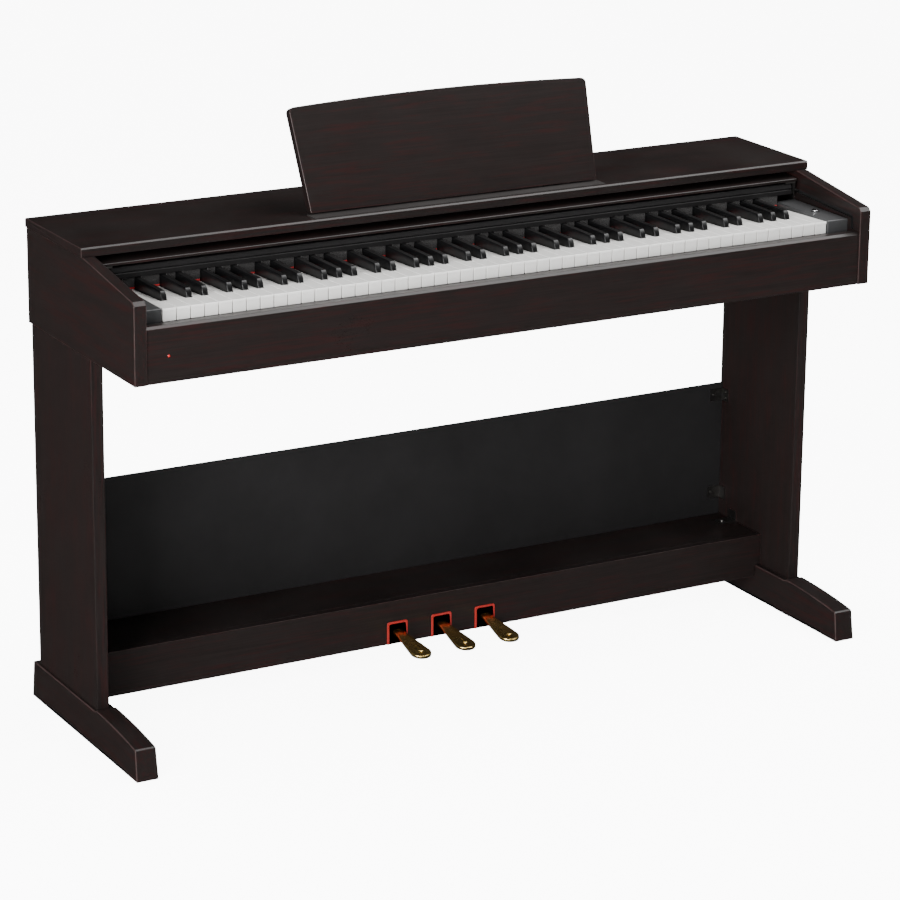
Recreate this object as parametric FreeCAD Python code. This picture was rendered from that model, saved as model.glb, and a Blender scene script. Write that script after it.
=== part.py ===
import FreeCAD, Part
import math
import os

# Digital piano on a stand: 88 hinged keys, sliding key cover, folding music rest, three pedals.
# Millimetres, Z up, the player sits on the -Y side. Origin: middle of the footprint, on the floor.
# Depths are given as distances in front of the rear plane and turned into Y by at().

# ---- overall -------------------------------------------------------------------------------
BODY_WIDTH = 1350.0
FOOT_SPAN = 1362.0
DEPTH = 424.0
HEIGHT = 815.0
BOARD = 21.0                 # thickness of side panels and legs
BODY_BOTTOM = 642.0          # underside of the keyboard case
HALF = BODY_WIDTH / 2
INNER = HALF - BOARD         # inner face of the side panels and legs

# ---- top board and case --------------------------------------------------------------------
TOP_THICK = 15.0
TOP_REAR = 8.0
TOP_FRONT = 233.0
TOP_UNDER = HEIGHT - TOP_THICK
TOP_LIP = 2.0                # overhang of the top board past each side panel
EDGE_BEVEL = 2.6
REAR_PANEL = (12.0, 16.0)    # depth range of the rear panel
CHEEK_TOP_FRONT = 774.0      # height of the sloping cheek where it meets the front bevel
CHEEK_BEVEL = 6.5
BED_THICK = 12.0
BED_TOP = BODY_BOTTOM + 2.0 + BED_THICK
SLIP_REAR = 402.0
SLIP_FRONT = 421.5
SLIP_TOP = 732.0
SLIP_BEVEL = (5.0, 4.0)      # run and drop of the bevel along the key slip

# ---- keyboard ------------------------------------------------------------------------------
WHITE_COUNT = 52
WHITE_PITCH = 23.5
KEY_GAP = 1.0
KEY_FRONT = 388.0
KEY_TOP = 748.5
KEY_HEAD = 51.0              # length of the wide front part of a natural
KEY_DEEP = 20.5              # height of the front part of a natural
KEY_SHALLOW = 14.0
KEY_REAR = 172.0
PIVOT = (180.0, 735.0)       # depth and height of the key pivot bar
PIVOT_BAR = 2.0
KEY_FALL = 0.044             # slope of a natural, down towards its rear
SHARP_WIDTH = 11.6
SHARP_RISE = 11.5
SHARP_FRONT = 335.0
SHARP_NOSE = 5.0
OCTAVE = 7                   # naturals in an octave
KEY_SPAN = WHITE_COUNT * WHITE_PITCH
LOW_WHITES = 23              # A0 to B3
MIDDLE_NAMES = ("c4", "d4", "e4", "f4", "g4", "a4", "b4")

# ---- key cover -----------------------------------------------------------------------------
COVER_SLOPE = math.radians(3.5)
COVER_TRAVEL = 162.0
COVER_FRONT = 241.0
COVER_REAR = 51.0
COVER_TOP_FRONT = 788.0
COVER_THICK = 5.0
COVER_HALF = INNER - 3.0
PIN_DEPTH = 233.0
PIN_HEIGHT = 766.0
PIN_RADIUS = 3.0
GROOVE_HALF = 3.6
GROOVE_DEEP = 5.0
SHAFT_DEPTH = 58.0
SHAFT_RADIUS = 2.5
ROLLER_RADIUS = 7.5

# ---- music rest ----------------------------------------------------------------------------
REST_HINGE = (187.0, 818.4)  # depth and height of the hinge line
REST_TILT = math.radians(70.0)
REST_THICK = 15.0
REST_BOTTOM_HALF = 267.0
REST_TOP_HALF = 278.0
REST_SIDE = 167.0
REST_CROWN = 7.0
REST_FOOT = 8.5              # reach of the board below the hinge line
REST_LEVEL = 819.6           # height of its level bottom edge
PROP_ARM = 80.0

# ---- stand ---------------------------------------------------------------------------------
LEG_REAR = 21.5
LEG_FRONT = 256.0
LEG_BOTTOM = 62.0
FOOT_WIDTH = 38.0
FOOT_TOP_WIDTH = 35.0
FOOT_RISE = 3.8              # clearance of the foot's underside between its pads
BACK_BOARD = (22.0, 28.0)
BACK_BOARD_TOP = 366.0
RAIL_FRONT = 166.0
RAIL_THICK = 15.0
RAIL_BOTTOM = 42.0
RAIL_TOP = 119.0

# ---- pedals --------------------------------------------------------------------------------
PEDAL_PITCH = 85.0
SLOT_HALF = 15.5
SLOT_TOP = 78.0
BEZEL_WALL = 2.5
PEDAL_AXLE = (75.0, 76.0)
PEDAL_TIP = 267.0
PEDAL_SLOPE = math.radians(7.6)
PEDAL_THICK = 7.0


def at(depth):
    return DEPTH / 2 - depth


def block(x0, x1, d0, d1, z0, z1):
    """Box between two X values, two depths and two heights."""
    return Part.makeBox(x1 - x0, d1 - d0, z1 - z0, FreeCAD.Vector(x0, at(d1), z0))


def prism(outline, x0, x1):
    """Outline of (depth, height) points carried along X."""
    points = [FreeCAD.Vector(x0, at(d), z) for d, z in outline]
    face = Part.Face(Part.makePolygon(points + points[:1]))
    return face.extrude(FreeCAD.Vector(x1 - x0, 0, 0))


def rod_x(x0, x1, depth, z, radius):
    return Part.makeCylinder(radius, x1 - x0, FreeCAD.Vector(x0, at(depth), z), FreeCAD.Vector(1, 0, 0))


def rod_z(x, depth, z0, z1, radius):
    return Part.makeCylinder(radius, z1 - z0, FreeCAD.Vector(x, at(depth), z0))


def rod_out(x, depth, z, length, radius):
    """Round rod that runs forward from a depth."""
    return Part.makeCylinder(radius, length, FreeCAD.Vector(x, at(depth), z), FreeCAD.Vector(0, -1, 0))


def mirrored(shape):
    return shape.mirror(FreeCAD.Vector(0, 0, 0), FreeCAD.Vector(1, 0, 0))


def joined(shapes):
    result = shapes[0]
    for shape in shapes[1:]:
        result = result.fuse(shape)
    return result.removeSplitter()


def group(shapes):
    return Part.makeCompound(shapes)


def write(name, shape):
    shape.exportStep("parts/" + name + ".step")


def bar_outline(depth, z, radius):
    """Eight corners of an octagonal bar."""
    turns = [math.radians(22.5 + 45 * k) for k in range(8)]
    return [(depth + radius * math.cos(t), z + radius * math.sin(t)) for t in turns]


# ---- case ----------------------------------------------------------------------------------

def groove_height(depth):
    return PIN_HEIGHT - math.tan(COVER_SLOPE) * (depth - PIN_DEPTH)


def cover_groove():
    """Cutter for the cover's guide groove: a sloping run with its open end turned down."""
    start = 222.0
    turn = 396.0
    low = SLIP_TOP + 2.0
    outline = [(start, groove_height(start) - GROOVE_HALF),
               (turn, groove_height(turn) - GROOVE_HALF),
               (turn + 1.5, low),
               (turn + 8.7, low),
               (turn + 7.0, groove_height(turn) - 2.0),
               (turn + 2.0, groove_height(turn) + GROOVE_HALF),
               (start, groove_height(start) + GROOVE_HALF)]
    return prism(outline, -INNER - GROOVE_DEEP, -INNER + 1.0)


def side_panel():
    outline = [(TOP_REAR, BODY_BOTTOM), (DEPTH, BODY_BOTTOM), (DEPTH, CHEEK_TOP_FRONT - CHEEK_BEVEL),
               (DEPTH - CHEEK_BEVEL, CHEEK_TOP_FRONT), (TOP_FRONT + 2.0, TOP_UNDER),
               (TOP_REAR, TOP_UNDER)]
    return prism(outline, -HALF, -INNER).cut(cover_groove())


def top_board():
    outline = [(TOP_REAR, TOP_UNDER), (TOP_FRONT, TOP_UNDER), (TOP_FRONT, HEIGHT - EDGE_BEVEL),
               (TOP_FRONT - EDGE_BEVEL, HEIGHT), (TOP_REAR + EDGE_BEVEL, HEIGHT),
               (TOP_REAR, HEIGHT - EDGE_BEVEL)]
    return prism(outline, -HALF - TOP_LIP, HALF + TOP_LIP)


JACK_OPENING = (-560.0, -470.0, 668.0, 700.0)


def rear_panel():
    panel = block(-INNER, INNER, REAR_PANEL[0], REAR_PANEL[1], BED_TOP, TOP_UNDER)
    x0, x1, z0, z1 = JACK_OPENING
    panel = panel.cut(block(x0, x1, 0, 30, z0, z1))
    for k in range(12):
        x = 180.0 + 22.0 * k
        panel = panel.cut(block(x, x + 5.0, 0, 30, 662.0, 704.0))
    return panel


SPEAKER_X = 470.0
SPEAKER_DEPTH = 100.0
SPEAKER_OPENING = (120.0, 70.0)


def key_bed():
    bed = block(-INNER, INNER, REAR_PANEL[0], SLIP_REAR, BODY_BOTTOM + 2.0, BED_TOP)
    wide, deep = SPEAKER_OPENING
    for x in (-SPEAKER_X, SPEAKER_X):
        bed = bed.cut(block(x - wide / 2, x + wide / 2, SPEAKER_DEPTH - deep / 2,
                            SPEAKER_DEPTH + deep / 2, 0, BED_TOP + 1.0))
    return bed


LAMP_X = -617.0
LAMP_Z = 684.0
LAMP_RADIUS = 2.0


def key_slip():
    run, drop = SLIP_BEVEL
    outline = [(SLIP_REAR, BODY_BOTTOM), (SLIP_FRONT, BODY_BOTTOM), (SLIP_FRONT, SLIP_TOP - drop),
               (SLIP_FRONT - run, SLIP_TOP), (SLIP_REAR, SLIP_TOP)]
    slip = prism(outline, -INNER, INNER)
    return slip.cut(rod_out(LAMP_X, SLIP_REAR - 1.0, LAMP_Z, 30.0, LAMP_RADIUS))


def power_lamp():
    lens = rod_out(LAMP_X, SLIP_REAR, LAMP_Z, SLIP_FRONT - SLIP_REAR + 0.4, LAMP_RADIUS - 0.05)
    foot = rod_out(LAMP_X, SLIP_REAR - 3.0, LAMP_Z, 3.0, LAMP_RADIUS + 2.0)
    return joined([lens, foot])


FALL_HALF = 640.0
FALL_BOTTOM = KEY_TOP + SHARP_RISE + 1.5
FALL_TOP = 779.3
FALL_REAR = 229.0


def fallboard():
    """Black board behind the keys: two bands with a shadow line between them."""
    middle = (FALL_BOTTOM + FALL_TOP) / 2
    outline = [(FALL_REAR, FALL_BOTTOM), (242.0, FALL_BOTTOM), (240.5, middle - 0.8),
               (239.0, middle - 0.8), (239.0, middle + 0.8), (240.5, middle + 0.8), (237.5, FALL_TOP),
               (FALL_REAR, FALL_TOP)]
    return prism(outline, -FALL_HALF, FALL_HALF)


BLOCK_INNER = KEY_SPAN / 2 + 1.5
BLOCK_TOP = 749.5
BLOCK_HOLLOW = 3.0
BUTTON_DEPTH = 322.0
BUTTON_X = 633.0
BUTTON_RADIUS = 6.0
VOICE_DEPTH = 350.0
SLIDER_DEPTH = (290.0, 328.0)


def end_block():
    """Hollow plastic block that closes the keyboard at one end, shown for the left side."""
    outline = [(229.0, BED_TOP), (KEY_FRONT - 1.5, BED_TOP), (KEY_FRONT, BED_TOP + 1.5),
               (KEY_FRONT, BLOCK_TOP - 2.5), (KEY_FRONT - 2.5, BLOCK_TOP), (229.0, BLOCK_TOP)]
    shell = prism(outline, -INNER, -BLOCK_INNER)
    hollow = block(-INNER + BLOCK_HOLLOW, -BLOCK_INNER - BLOCK_HOLLOW, 232.0, KEY_FRONT - BLOCK_HOLLOW,
                   BED_TOP - 1.0, BLOCK_TOP - BLOCK_HOLLOW)
    return shell.cut(hollow)


def left_end_block():
    block_shape = end_block()
    button_hole = rod_z(-BUTTON_X, VOICE_DEPTH, BLOCK_TOP - 5.0, BLOCK_TOP + 1.0, BUTTON_RADIUS + 0.4)
    slot = block(-BUTTON_X - 1.6, -BUTTON_X + 1.6, SLIDER_DEPTH[0] - 3.0, SLIDER_DEPTH[1] + 3.0,
                 BLOCK_TOP - 5.0, BLOCK_TOP + 1.0)
    return block_shape.cut(button_hole).cut(slot)


def right_end_block():
    hole = rod_z(BUTTON_X, BUTTON_DEPTH, BLOCK_TOP - 5.0, BLOCK_TOP + 1.0, BUTTON_RADIUS + 0.4)
    return mirrored(end_block()).cut(hole)


def push_button(x, depth):
    cap = rod_z(x, depth, BLOCK_TOP - 2.6, BLOCK_TOP + 3.4, BUTTON_RADIUS)
    collar = rod_z(x, depth, BLOCK_TOP - BLOCK_HOLLOW - 2.0, BLOCK_TOP - BLOCK_HOLLOW - 0.4,
                   BUTTON_RADIUS + 2.0)
    stem = rod_z(x, depth, BLOCK_TOP - BLOCK_HOLLOW - 1.0, BLOCK_TOP - 2.0, BUTTON_RADIUS)
    edged = cap.makeChamfer(0.8, [e for e in cap.Edges if e.BoundBox.ZMin > BLOCK_TOP + 3.3])
    return joined([edged, stem, collar])


def volume_slider():
    depth = SLIDER_DEPTH[0] + 2.0
    outline = [(depth, BLOCK_TOP + 0.5), (depth + 10.0, BLOCK_TOP + 0.5), (depth + 8.5, BLOCK_TOP + 5.0),
               (depth + 6.0, BLOCK_TOP + 3.8), (depth + 4.0, BLOCK_TOP + 3.8), (depth + 1.5, BLOCK_TOP + 5.0)]
    cap = prism(outline, -BUTTON_X - 4.0, -BUTTON_X + 4.0)
    stem = block(-BUTTON_X - 1.1, -BUTTON_X + 1.1, depth + 3.0, depth + 7.0, BLOCK_TOP - 8.0,
                 BLOCK_TOP + 1.0)
    return joined([cap, stem])


# ---- keyboard ------------------------------------------------------------------------------

def white_left(index):
    return -KEY_SPAN / 2 + WHITE_PITCH * index


SHARP_SHIFT = {0: -1.9, 1: 1.9, 3: -2.8, 4: 0.0, 5: 2.8}   # by natural: C D F G A


def step_of(index):
    """Place of a natural in its octave, C = 0. The lowest natural is an A."""
    return (index + 5) % OCTAVE


def sharp_centre(index):
    """Middle of the sharp to the right of a natural, or None."""
    step = step_of(index)
    if step not in SHARP_SHIFT or index < 0 or index + 1 >= WHITE_COUNT:
        return None
    return white_left(index + 1) + SHARP_SHIFT[step]


def natural_top(depth):
    """Height of a natural's upper face, which falls away from its front edge."""
    return KEY_TOP - KEY_FALL * (KEY_FRONT - depth)


def pivot_slot(x0, x1):
    """Open slot at the rear of a key that snaps over the pivot bar."""
    gap = PIVOT_BAR + 0.25
    return block(x0 - 1.0, x1 + 1.0, KEY_REAR - 1.0, PIVOT[0] + gap, PIVOT[1] - gap, PIVOT[1] + gap)


def natural_key(index):
    """Head, and a tail cut back beside the sharps."""
    left = white_left(index) + KEY_GAP / 2
    right = white_left(index + 1) - KEY_GAP / 2
    head_rear = KEY_FRONT - KEY_HEAD
    tail_left, tail_right = left, right
    before = sharp_centre(index - 1)
    after = sharp_centre(index)
    if before is not None:
        tail_left = before + SHARP_WIDTH / 2 + KEY_GAP
    if after is not None:
        tail_right = after - SHARP_WIDTH / 2 - KEY_GAP
    head = prism([(head_rear, KEY_TOP - KEY_SHALLOW), (KEY_FRONT - 30.0, KEY_TOP - KEY_SHALLOW),
                  (KEY_FRONT - 24.0, KEY_TOP - KEY_DEEP), (KEY_FRONT - 0.8, KEY_TOP - KEY_DEEP),
                  (KEY_FRONT - 0.8, KEY_TOP - 4.0), (KEY_FRONT, KEY_TOP - 3.0), (KEY_FRONT, KEY_TOP - 0.6),
                  (KEY_FRONT - 0.6, KEY_TOP), (head_rear, natural_top(head_rear))], left, right)
    under = KEY_TOP - KEY_SHALLOW - 3.0
    tail = prism([(KEY_REAR, under), (head_rear, under), (head_rear, natural_top(head_rear)),
                  (FALL_REAR, natural_top(FALL_REAR)), (KEY_REAR, natural_top(FALL_REAR))],
                 tail_left, tail_right)
    return joined([head, tail]).cut(pivot_slot(left, right))


def sharp_key(index):
    """Black key with a sloping front and chamfered top edges."""
    centre = sharp_centre(index)
    wide = SHARP_WIDTH / 2
    top = KEY_TOP + SHARP_RISE
    side = prism([(KEY_REAR, KEY_TOP - 17.0), (SHARP_FRONT, KEY_TOP - 17.0), (SHARP_FRONT, KEY_TOP + 1.0),
                  (SHARP_FRONT - SHARP_NOSE, top - 0.8), (SHARP_FRONT - SHARP_NOSE - 1.2, top),
                  (KEY_REAR, top)], centre - wide, centre + wide)
    for sign in (-1, 1):
        edge = centre + sign * wide
        bevel = Part.Face(Part.makePolygon([
            FreeCAD.Vector(edge + sign, at(SHARP_FRONT + 1), top + 0.1),
            FreeCAD.Vector(edge - sign * 0.9, at(SHARP_FRONT + 1), top + 0.1),
            FreeCAD.Vector(edge + sign * 0.05, at(SHARP_FRONT + 1), KEY_TOP + 1.0),
            FreeCAD.Vector(edge + sign, at(SHARP_FRONT + 1), KEY_TOP + 1.0),
            FreeCAD.Vector(edge + sign, at(SHARP_FRONT + 1), top + 0.1)]))
        side = side.cut(bevel.extrude(FreeCAD.Vector(0, SHARP_FRONT - KEY_REAR + 3, 0)))
    return side.cut(pivot_slot(centre - wide, centre + wide))


def write_keys():
    middle = range(LOW_WHITES, LOW_WHITES + OCTAVE)
    low = range(0, LOW_WHITES)
    high = range(LOW_WHITES + OCTAVE, WHITE_COUNT)
    for name, index in zip(MIDDLE_NAMES, middle):
        write("key_" + name, natural_key(index))
        if sharp_centre(index) is not None:
            write("key_" + name[0] + "_sharp4", sharp_key(index))
    for name, span in (("low", low), ("high", high)):
        write("keys_" + name + "_naturals", group([natural_key(i) for i in span]))
        sharps = [sharp_key(i) for i in span if sharp_centre(i) is not None]
        write("keys_" + name + "_sharps", group(sharps))


FRAME_HALF = BLOCK_INNER - 0.5


def keyboard_frame():
    """Chassis under the keys: tray, front rail, rear wall and shelf, ribs, and the pivot bar on posts."""
    floor = BED_TOP + 3.0
    shelf_z = (716.0, 722.0)
    parts = [block(-FRAME_HALF, FRAME_HALF, 150.0, 396.0, BED_TOP, floor),
             block(-FRAME_HALF, FRAME_HALF, 370.0, 376.0, floor, 712.0),
             block(-FRAME_HALF, FRAME_HALF, 152.0, 162.0, floor, shelf_z[0]),
             block(-FRAME_HALF, FRAME_HALF, 152.0, 190.0, shelf_z[0], shelf_z[1])]
    for k in range(9):
        x = -FRAME_HALF + k * (2 * FRAME_HALF - 4.0) / 8
        parts.append(prism([(162.0, floor), (370.0, floor), (370.0, 668.0), (190.0, shelf_z[0]),
                            (162.0, shelf_z[0])], x, x + 4.0))
    for x in (-FRAME_HALF, FRAME_HALF - 0.8):
        parts.append(block(x, x + 0.8, 166.0, PIVOT[0] + 4.0, shelf_z[1], 742.0))
    parts.append(prism(bar_outline(PIVOT[0], PIVOT[1], PIVOT_BAR), -FRAME_HALF + 0.8, FRAME_HALF - 0.8))
    return group(parts)


def contact_strip():
    """Rubber contact strip under the keys, a ridge on a board that stands on five posts."""
    base = block(-KEY_SPAN / 2, KEY_SPAN / 2, 262.0, 276.0, 714.0, 717.0)
    ridge = block(-KEY_SPAN / 2, KEY_SPAN / 2, 266.0, 272.0, 717.0, 724.0)
    posts = [block(x, x + 10.0, 264.0, 274.0, BED_TOP + 3.0, 714.0)
             for x in (-540.0, -230.0, 60.0, 230.0, 530.0)]
    return joined([base, ridge] + posts)


FELT_DEPTH = (236.0, 240.0)


def key_felt():
    """Red felt strip behind the naturals, notched for the sharps."""
    low = natural_top(FELT_DEPTH[1]) + 0.8
    strip = block(-KEY_SPAN / 2, KEY_SPAN / 2, FELT_DEPTH[0], FELT_DEPTH[1], low, FALL_BOTTOM)
    for index in range(WHITE_COUNT):
        centre = sharp_centre(index)
        if centre is not None:
            wide = SHARP_WIDTH / 2 + 0.8
            strip = strip.cut(block(centre - wide, centre + wide, FELT_DEPTH[0] - 1, FELT_DEPTH[1] + 1,
                                    low - 1.0, KEY_TOP + SHARP_RISE + 0.9))
    return strip


# ---- key cover -----------------------------------------------------------------------------

def cover_height(depth):
    return COVER_TOP_FRONT - math.tan(COVER_SLOPE) * (depth - COVER_FRONT)


def key_cover():
    """Thin board on a slope, with a small bevel along its front edge."""
    outline = [(COVER_REAR, cover_height(COVER_REAR) - COVER_THICK),
               (COVER_FRONT, cover_height(COVER_FRONT) - COVER_THICK),
               (COVER_FRONT, cover_height(COVER_FRONT) - 1.2),
               (COVER_FRONT - 1.2, cover_height(COVER_FRONT)), (COVER_REAR, cover_height(COVER_REAR))]
    return prism(outline, -COVER_HALF, COVER_HALF)


ARM_INNER = 643.0
ARM_OUTER = 648.0


def shaft_height():
    return cover_height(SHAFT_DEPTH) - COVER_THICK - ROLLER_RADIUS - 0.6


def cover_arm():
    """End bracket under the cover: front pin for the groove, rear eye for the shaft."""
    under = [cover_height(d) - COVER_THICK for d in (COVER_REAR + 2.0, 228.0, 240.0)]
    front = prism([(228.0, PIN_HEIGHT - 4.0), (238.0, PIN_HEIGHT - 4.0), (240.0, under[2]),
                   (228.0, under[1])], -ARM_OUTER, -ARM_INNER)
    strap = prism([(COVER_REAR + 2.0, under[0] - 3.0), (240.0, under[2] - 3.0), (240.0, under[2]),
                   (COVER_REAR + 2.0, under[0])], -ARM_INNER + 1.0, -ARM_INNER + 15.0)
    bridge = prism([(228.0, under[1] - 3.0), (240.0, under[2] - 3.0), (240.0, under[2]),
                    (228.0, under[1])], -ARM_OUTER, -ARM_INNER + 15.0)
    eye = block(-ARM_INNER + 4.0, -ARM_INNER + 12.0, SHAFT_DEPTH - 5.0, SHAFT_DEPTH + 5.0,
                shaft_height() - 5.0, cover_height(SHAFT_DEPTH) - COVER_THICK - 1.5)
    eye = eye.cut(rod_x(-ARM_INNER, -ARM_INNER + 20.0, SHAFT_DEPTH, shaft_height(), SHAFT_RADIUS + 0.08))
    pin = rod_x(-INNER - GROOVE_DEEP + 1.2, -ARM_OUTER + 1.0, PIN_DEPTH, PIN_HEIGHT, PIN_RADIUS)
    return joined([front, bridge, strap, eye, pin])


def cover_arms():
    arm = cover_arm()
    return group([arm, mirrored(arm)])


def cover_shaft():
    """Steadying shaft with a roller at each end, so that the cover can't skew."""
    z = shaft_height()
    shaft = rod_x(-ARM_OUTER, ARM_OUTER, SHAFT_DEPTH, z, SHAFT_RADIUS)
    rollers = [rod_x(x, x + 5.0, SHAFT_DEPTH, z, ROLLER_RADIUS) for x in (-ARM_OUTER, ARM_OUTER - 5.0)]
    return joined([shaft] + rollers)


def cover_rail():
    """Ledge on the side panel that carries the roller."""
    drop = ROLLER_RADIUS + 0.05 / math.cos(COVER_SLOPE)
    slope = math.tan(COVER_SLOPE)
    start, stop = 40.0, 228.0
    tops = [shaft_height() - drop / math.cos(COVER_SLOPE) - slope * (d - SHAFT_DEPTH) for d in (start, stop)]
    ledge = prism([(start, tops[0] - 5.0), (stop, tops[1] - 5.0), (stop, tops[1]), (start, tops[0])],
                  -INNER, -ARM_INNER + 1.0)
    flange = prism([(start, tops[0] - 25.0), (stop, tops[1] - 25.0), (stop, tops[1]), (start, tops[0])],
                   -INNER, -INNER + 2.0)
    stop_block = block(-INNER, -ARM_INNER + 1.0, start, start + 6.0, tops[0] - 3.0, tops[0] + 6.0)
    return joined([ledge, flange, stop_block])


def cover_rails():
    rail = cover_rail()
    return group([rail, mirrored(rail)])


# ---- music rest ----------------------------------------------------------------------------

def upright(shape):
    """Turn a shape drawn lying back on the top board up to the rest's tilt."""
    turned = shape.copy()
    turned.rotate(FreeCAD.Vector(0, at(REST_HINGE[0]), REST_HINGE[1]), FreeCAD.Vector(1, 0, 0),
                  math.degrees(REST_TILT))
    return turned


KNUCKLES = (-190.0, 190.0)
KNUCKLE_HALF = 12.0
CLIP_X = (-60.0, 60.0)
REST_LIFT = 3.5              # from the hinge line to the back of the board, lying down
HINGE_PIN = 1.5


def music_rest():
    """Board with a gently curved top edge and rounded corners, drawn lying back."""
    hinge = REST_HINGE[0]
    low = REST_HINGE[1] + REST_LIFT
    near = at(hinge + REST_FOOT)
    far = at(hinge - REST_SIDE)
    corner = 9.0
    p0 = FreeCAD.Vector(-REST_BOTTOM_HALF, near, low)
    p1 = FreeCAD.Vector(REST_BOTTOM_HALF, near, low)
    slant = (REST_TOP_HALF - REST_BOTTOM_HALF) / (REST_SIDE + REST_FOOT)
    side_end = far - corner
    p2 = FreeCAD.Vector(REST_TOP_HALF - slant * corner, side_end, low)
    p3 = FreeCAD.Vector(REST_TOP_HALF - corner, far + 0.4, low)
    crown = FreeCAD.Vector(0, far + REST_CROWN, low)
    p4 = FreeCAD.Vector(-p3.x, p3.y, low)
    p5 = FreeCAD.Vector(-p2.x, p2.y, low)
    bend = FreeCAD.Vector(REST_TOP_HALF - 2.6, far - 2.3, low)
    edges = [Part.LineSegment(p0, p1).toShape(), Part.LineSegment(p1, p2).toShape(),
             Part.Arc(p2, bend, p3).toShape(), Part.Arc(p3, crown, p4).toShape(),
             Part.Arc(p4, FreeCAD.Vector(-bend.x, bend.y, low), p5).toShape(),
             Part.LineSegment(p5, p0).toShape()]
    board = upright(Part.Face(Part.Wire(edges)).extrude(FreeCAD.Vector(0, 0, REST_THICK)))
    return board.cut(block(-REST_TOP_HALF, REST_TOP_HALF, hinge - 10.0, hinge + 40.0, HEIGHT - 10.0,
                           REST_LEVEL))


def rest_hinges():
    """Steel hinge leaves and prop clips on the back of the rest."""
    hinge, line = REST_HINGE
    shapes = []
    for x in KNUCKLES:
        ring = rod_x(x - KNUCKLE_HALF, x + KNUCKLE_HALF, hinge, line, HINGE_PIN + 1.0)
        leaf = block(x - KNUCKLE_HALF, x + KNUCKLE_HALF, hinge - 22.0, hinge, line + REST_LIFT - 1.2,
                     line + REST_LIFT)
        body = joined([ring, leaf])
        bore = rod_x(x - KNUCKLE_HALF - 1, x + KNUCKLE_HALF + 1, hinge, line, HINGE_PIN + 0.06)
        shapes.append(upright(body.cut(bore)))
    for x in CLIP_X:
        axis = hinge - PROP_ARM
        clip = block(x - 5.0, x + 5.0, axis - 4.0, axis + 4.0, line - 2.9, line + REST_LIFT)
        shapes.append(upright(clip.cut(rod_x(x - 6.0, x + 6.0, axis, line, PROP_ROD + 0.3))))
    return group(shapes)


def rest_base():
    """Rubber-topped ledge and hinge blocks with pins, fixed to the top board."""
    hinge, line = REST_HINGE
    ledge = block(-271.0, 271.0, 199.0, 228.0, HEIGHT, HEIGHT + 1.8)
    shapes = [ledge]
    for x in KNUCKLES:
        pin = rod_x(x - KNUCKLE_HALF - 6.0, x + KNUCKLE_HALF + 6.0, hinge, line, HINGE_PIN)
        lugs = [block(x + side - 2.5, x + side + 2.5, hinge - 2.4, hinge + 2.4, HEIGHT, line + 1.9)
                for side in (-KNUCKLE_HALF - 3.5, KNUCKLE_HALF + 3.5)]
        strap = block(x - KNUCKLE_HALF - 6.0, x + KNUCKLE_HALF + 6.0, hinge + 2.4, 200.0, HEIGHT,
                      HEIGHT + 1.0)
        shapes.append(joined([pin, strap] + lugs))
    return joined(shapes)


PROP_X = (-120.0, 120.0)
PROP_HALF_THICK = 1.2
PROP_ROD = 1.7
PROP_TIP = 3.1


def rest_supports():
    """Two folding props behind the rest on one axis, tips just clear of the top board."""
    hinge, line = REST_HINGE
    shapes = []
    top = upright_point(PROP_ARM)
    tip = (hinge - 2 * PROP_ARM * math.cos(REST_TILT), line)
    dx, dz = tip[0] - top[0], tip[1] - top[1]
    size = math.hypot(dx, dz)
    ux, uz = dx / size, dz / size
    sx, sz = PROP_HALF_THICK * uz, PROP_HALF_THICK * ux
    for x in PROP_X:
        arm = prism([(top[0] - sx, top[1] + sz), (tip[0] - sx, tip[1] + sz),
                     (tip[0] + sx, tip[1] - sz), (top[0] + sx, top[1] - sz)], x - 12.0, x + 12.0)
        shapes += [arm, rod_x(x - 12.0, x + 12.0, tip[0], tip[1], PROP_TIP)]
    rod = prism(bar_outline(top[0], top[1], PROP_ROD), PROP_X[0] - 12.0, PROP_X[1] + 12.0)
    return joined(shapes + [rod])


def upright_point(along):
    """Depth and height of a point on the rest's prop line, a distance from the hinge."""
    hinge, line = REST_HINGE
    return (hinge - along * math.cos(REST_TILT), line + along * math.sin(REST_TILT))


# ---- stand ---------------------------------------------------------------------------------

def leg():
    outline = [(LEG_REAR, LEG_BOTTOM), (LEG_FRONT - 1.0, LEG_BOTTOM), (LEG_FRONT, LEG_BOTTOM + 1.0),
               (LEG_FRONT, BODY_BOTTOM), (LEG_REAR, BODY_BOTTOM)]
    shape = prism(outline, -HALF, -INNER)
    edges = [e for e in shape.Edges if abs(e.BoundBox.YMax - at(LEG_FRONT)) < 0.01
             and e.BoundBox.ZLength > 300]
    return shape.makeChamfer(1.2, edges)


FOOT_TOE = 420.0
FOOT_PADS = ((0.0, 36.0), (232.0, 276.0), (374.0, FOOT_TOE))


def foot_underside():
    """Points along the bottom of a foot, which stands on three pads."""
    points = []
    for start, stop in FOOT_PADS:
        if start > 0:
            points.append((start - 2.0, FOOT_RISE))
        points += [(start, 0.0), (stop, 0.0)]
        if stop < FOOT_TOE:
            points.append((stop + 2.0, FOOT_RISE))
    return points


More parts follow.
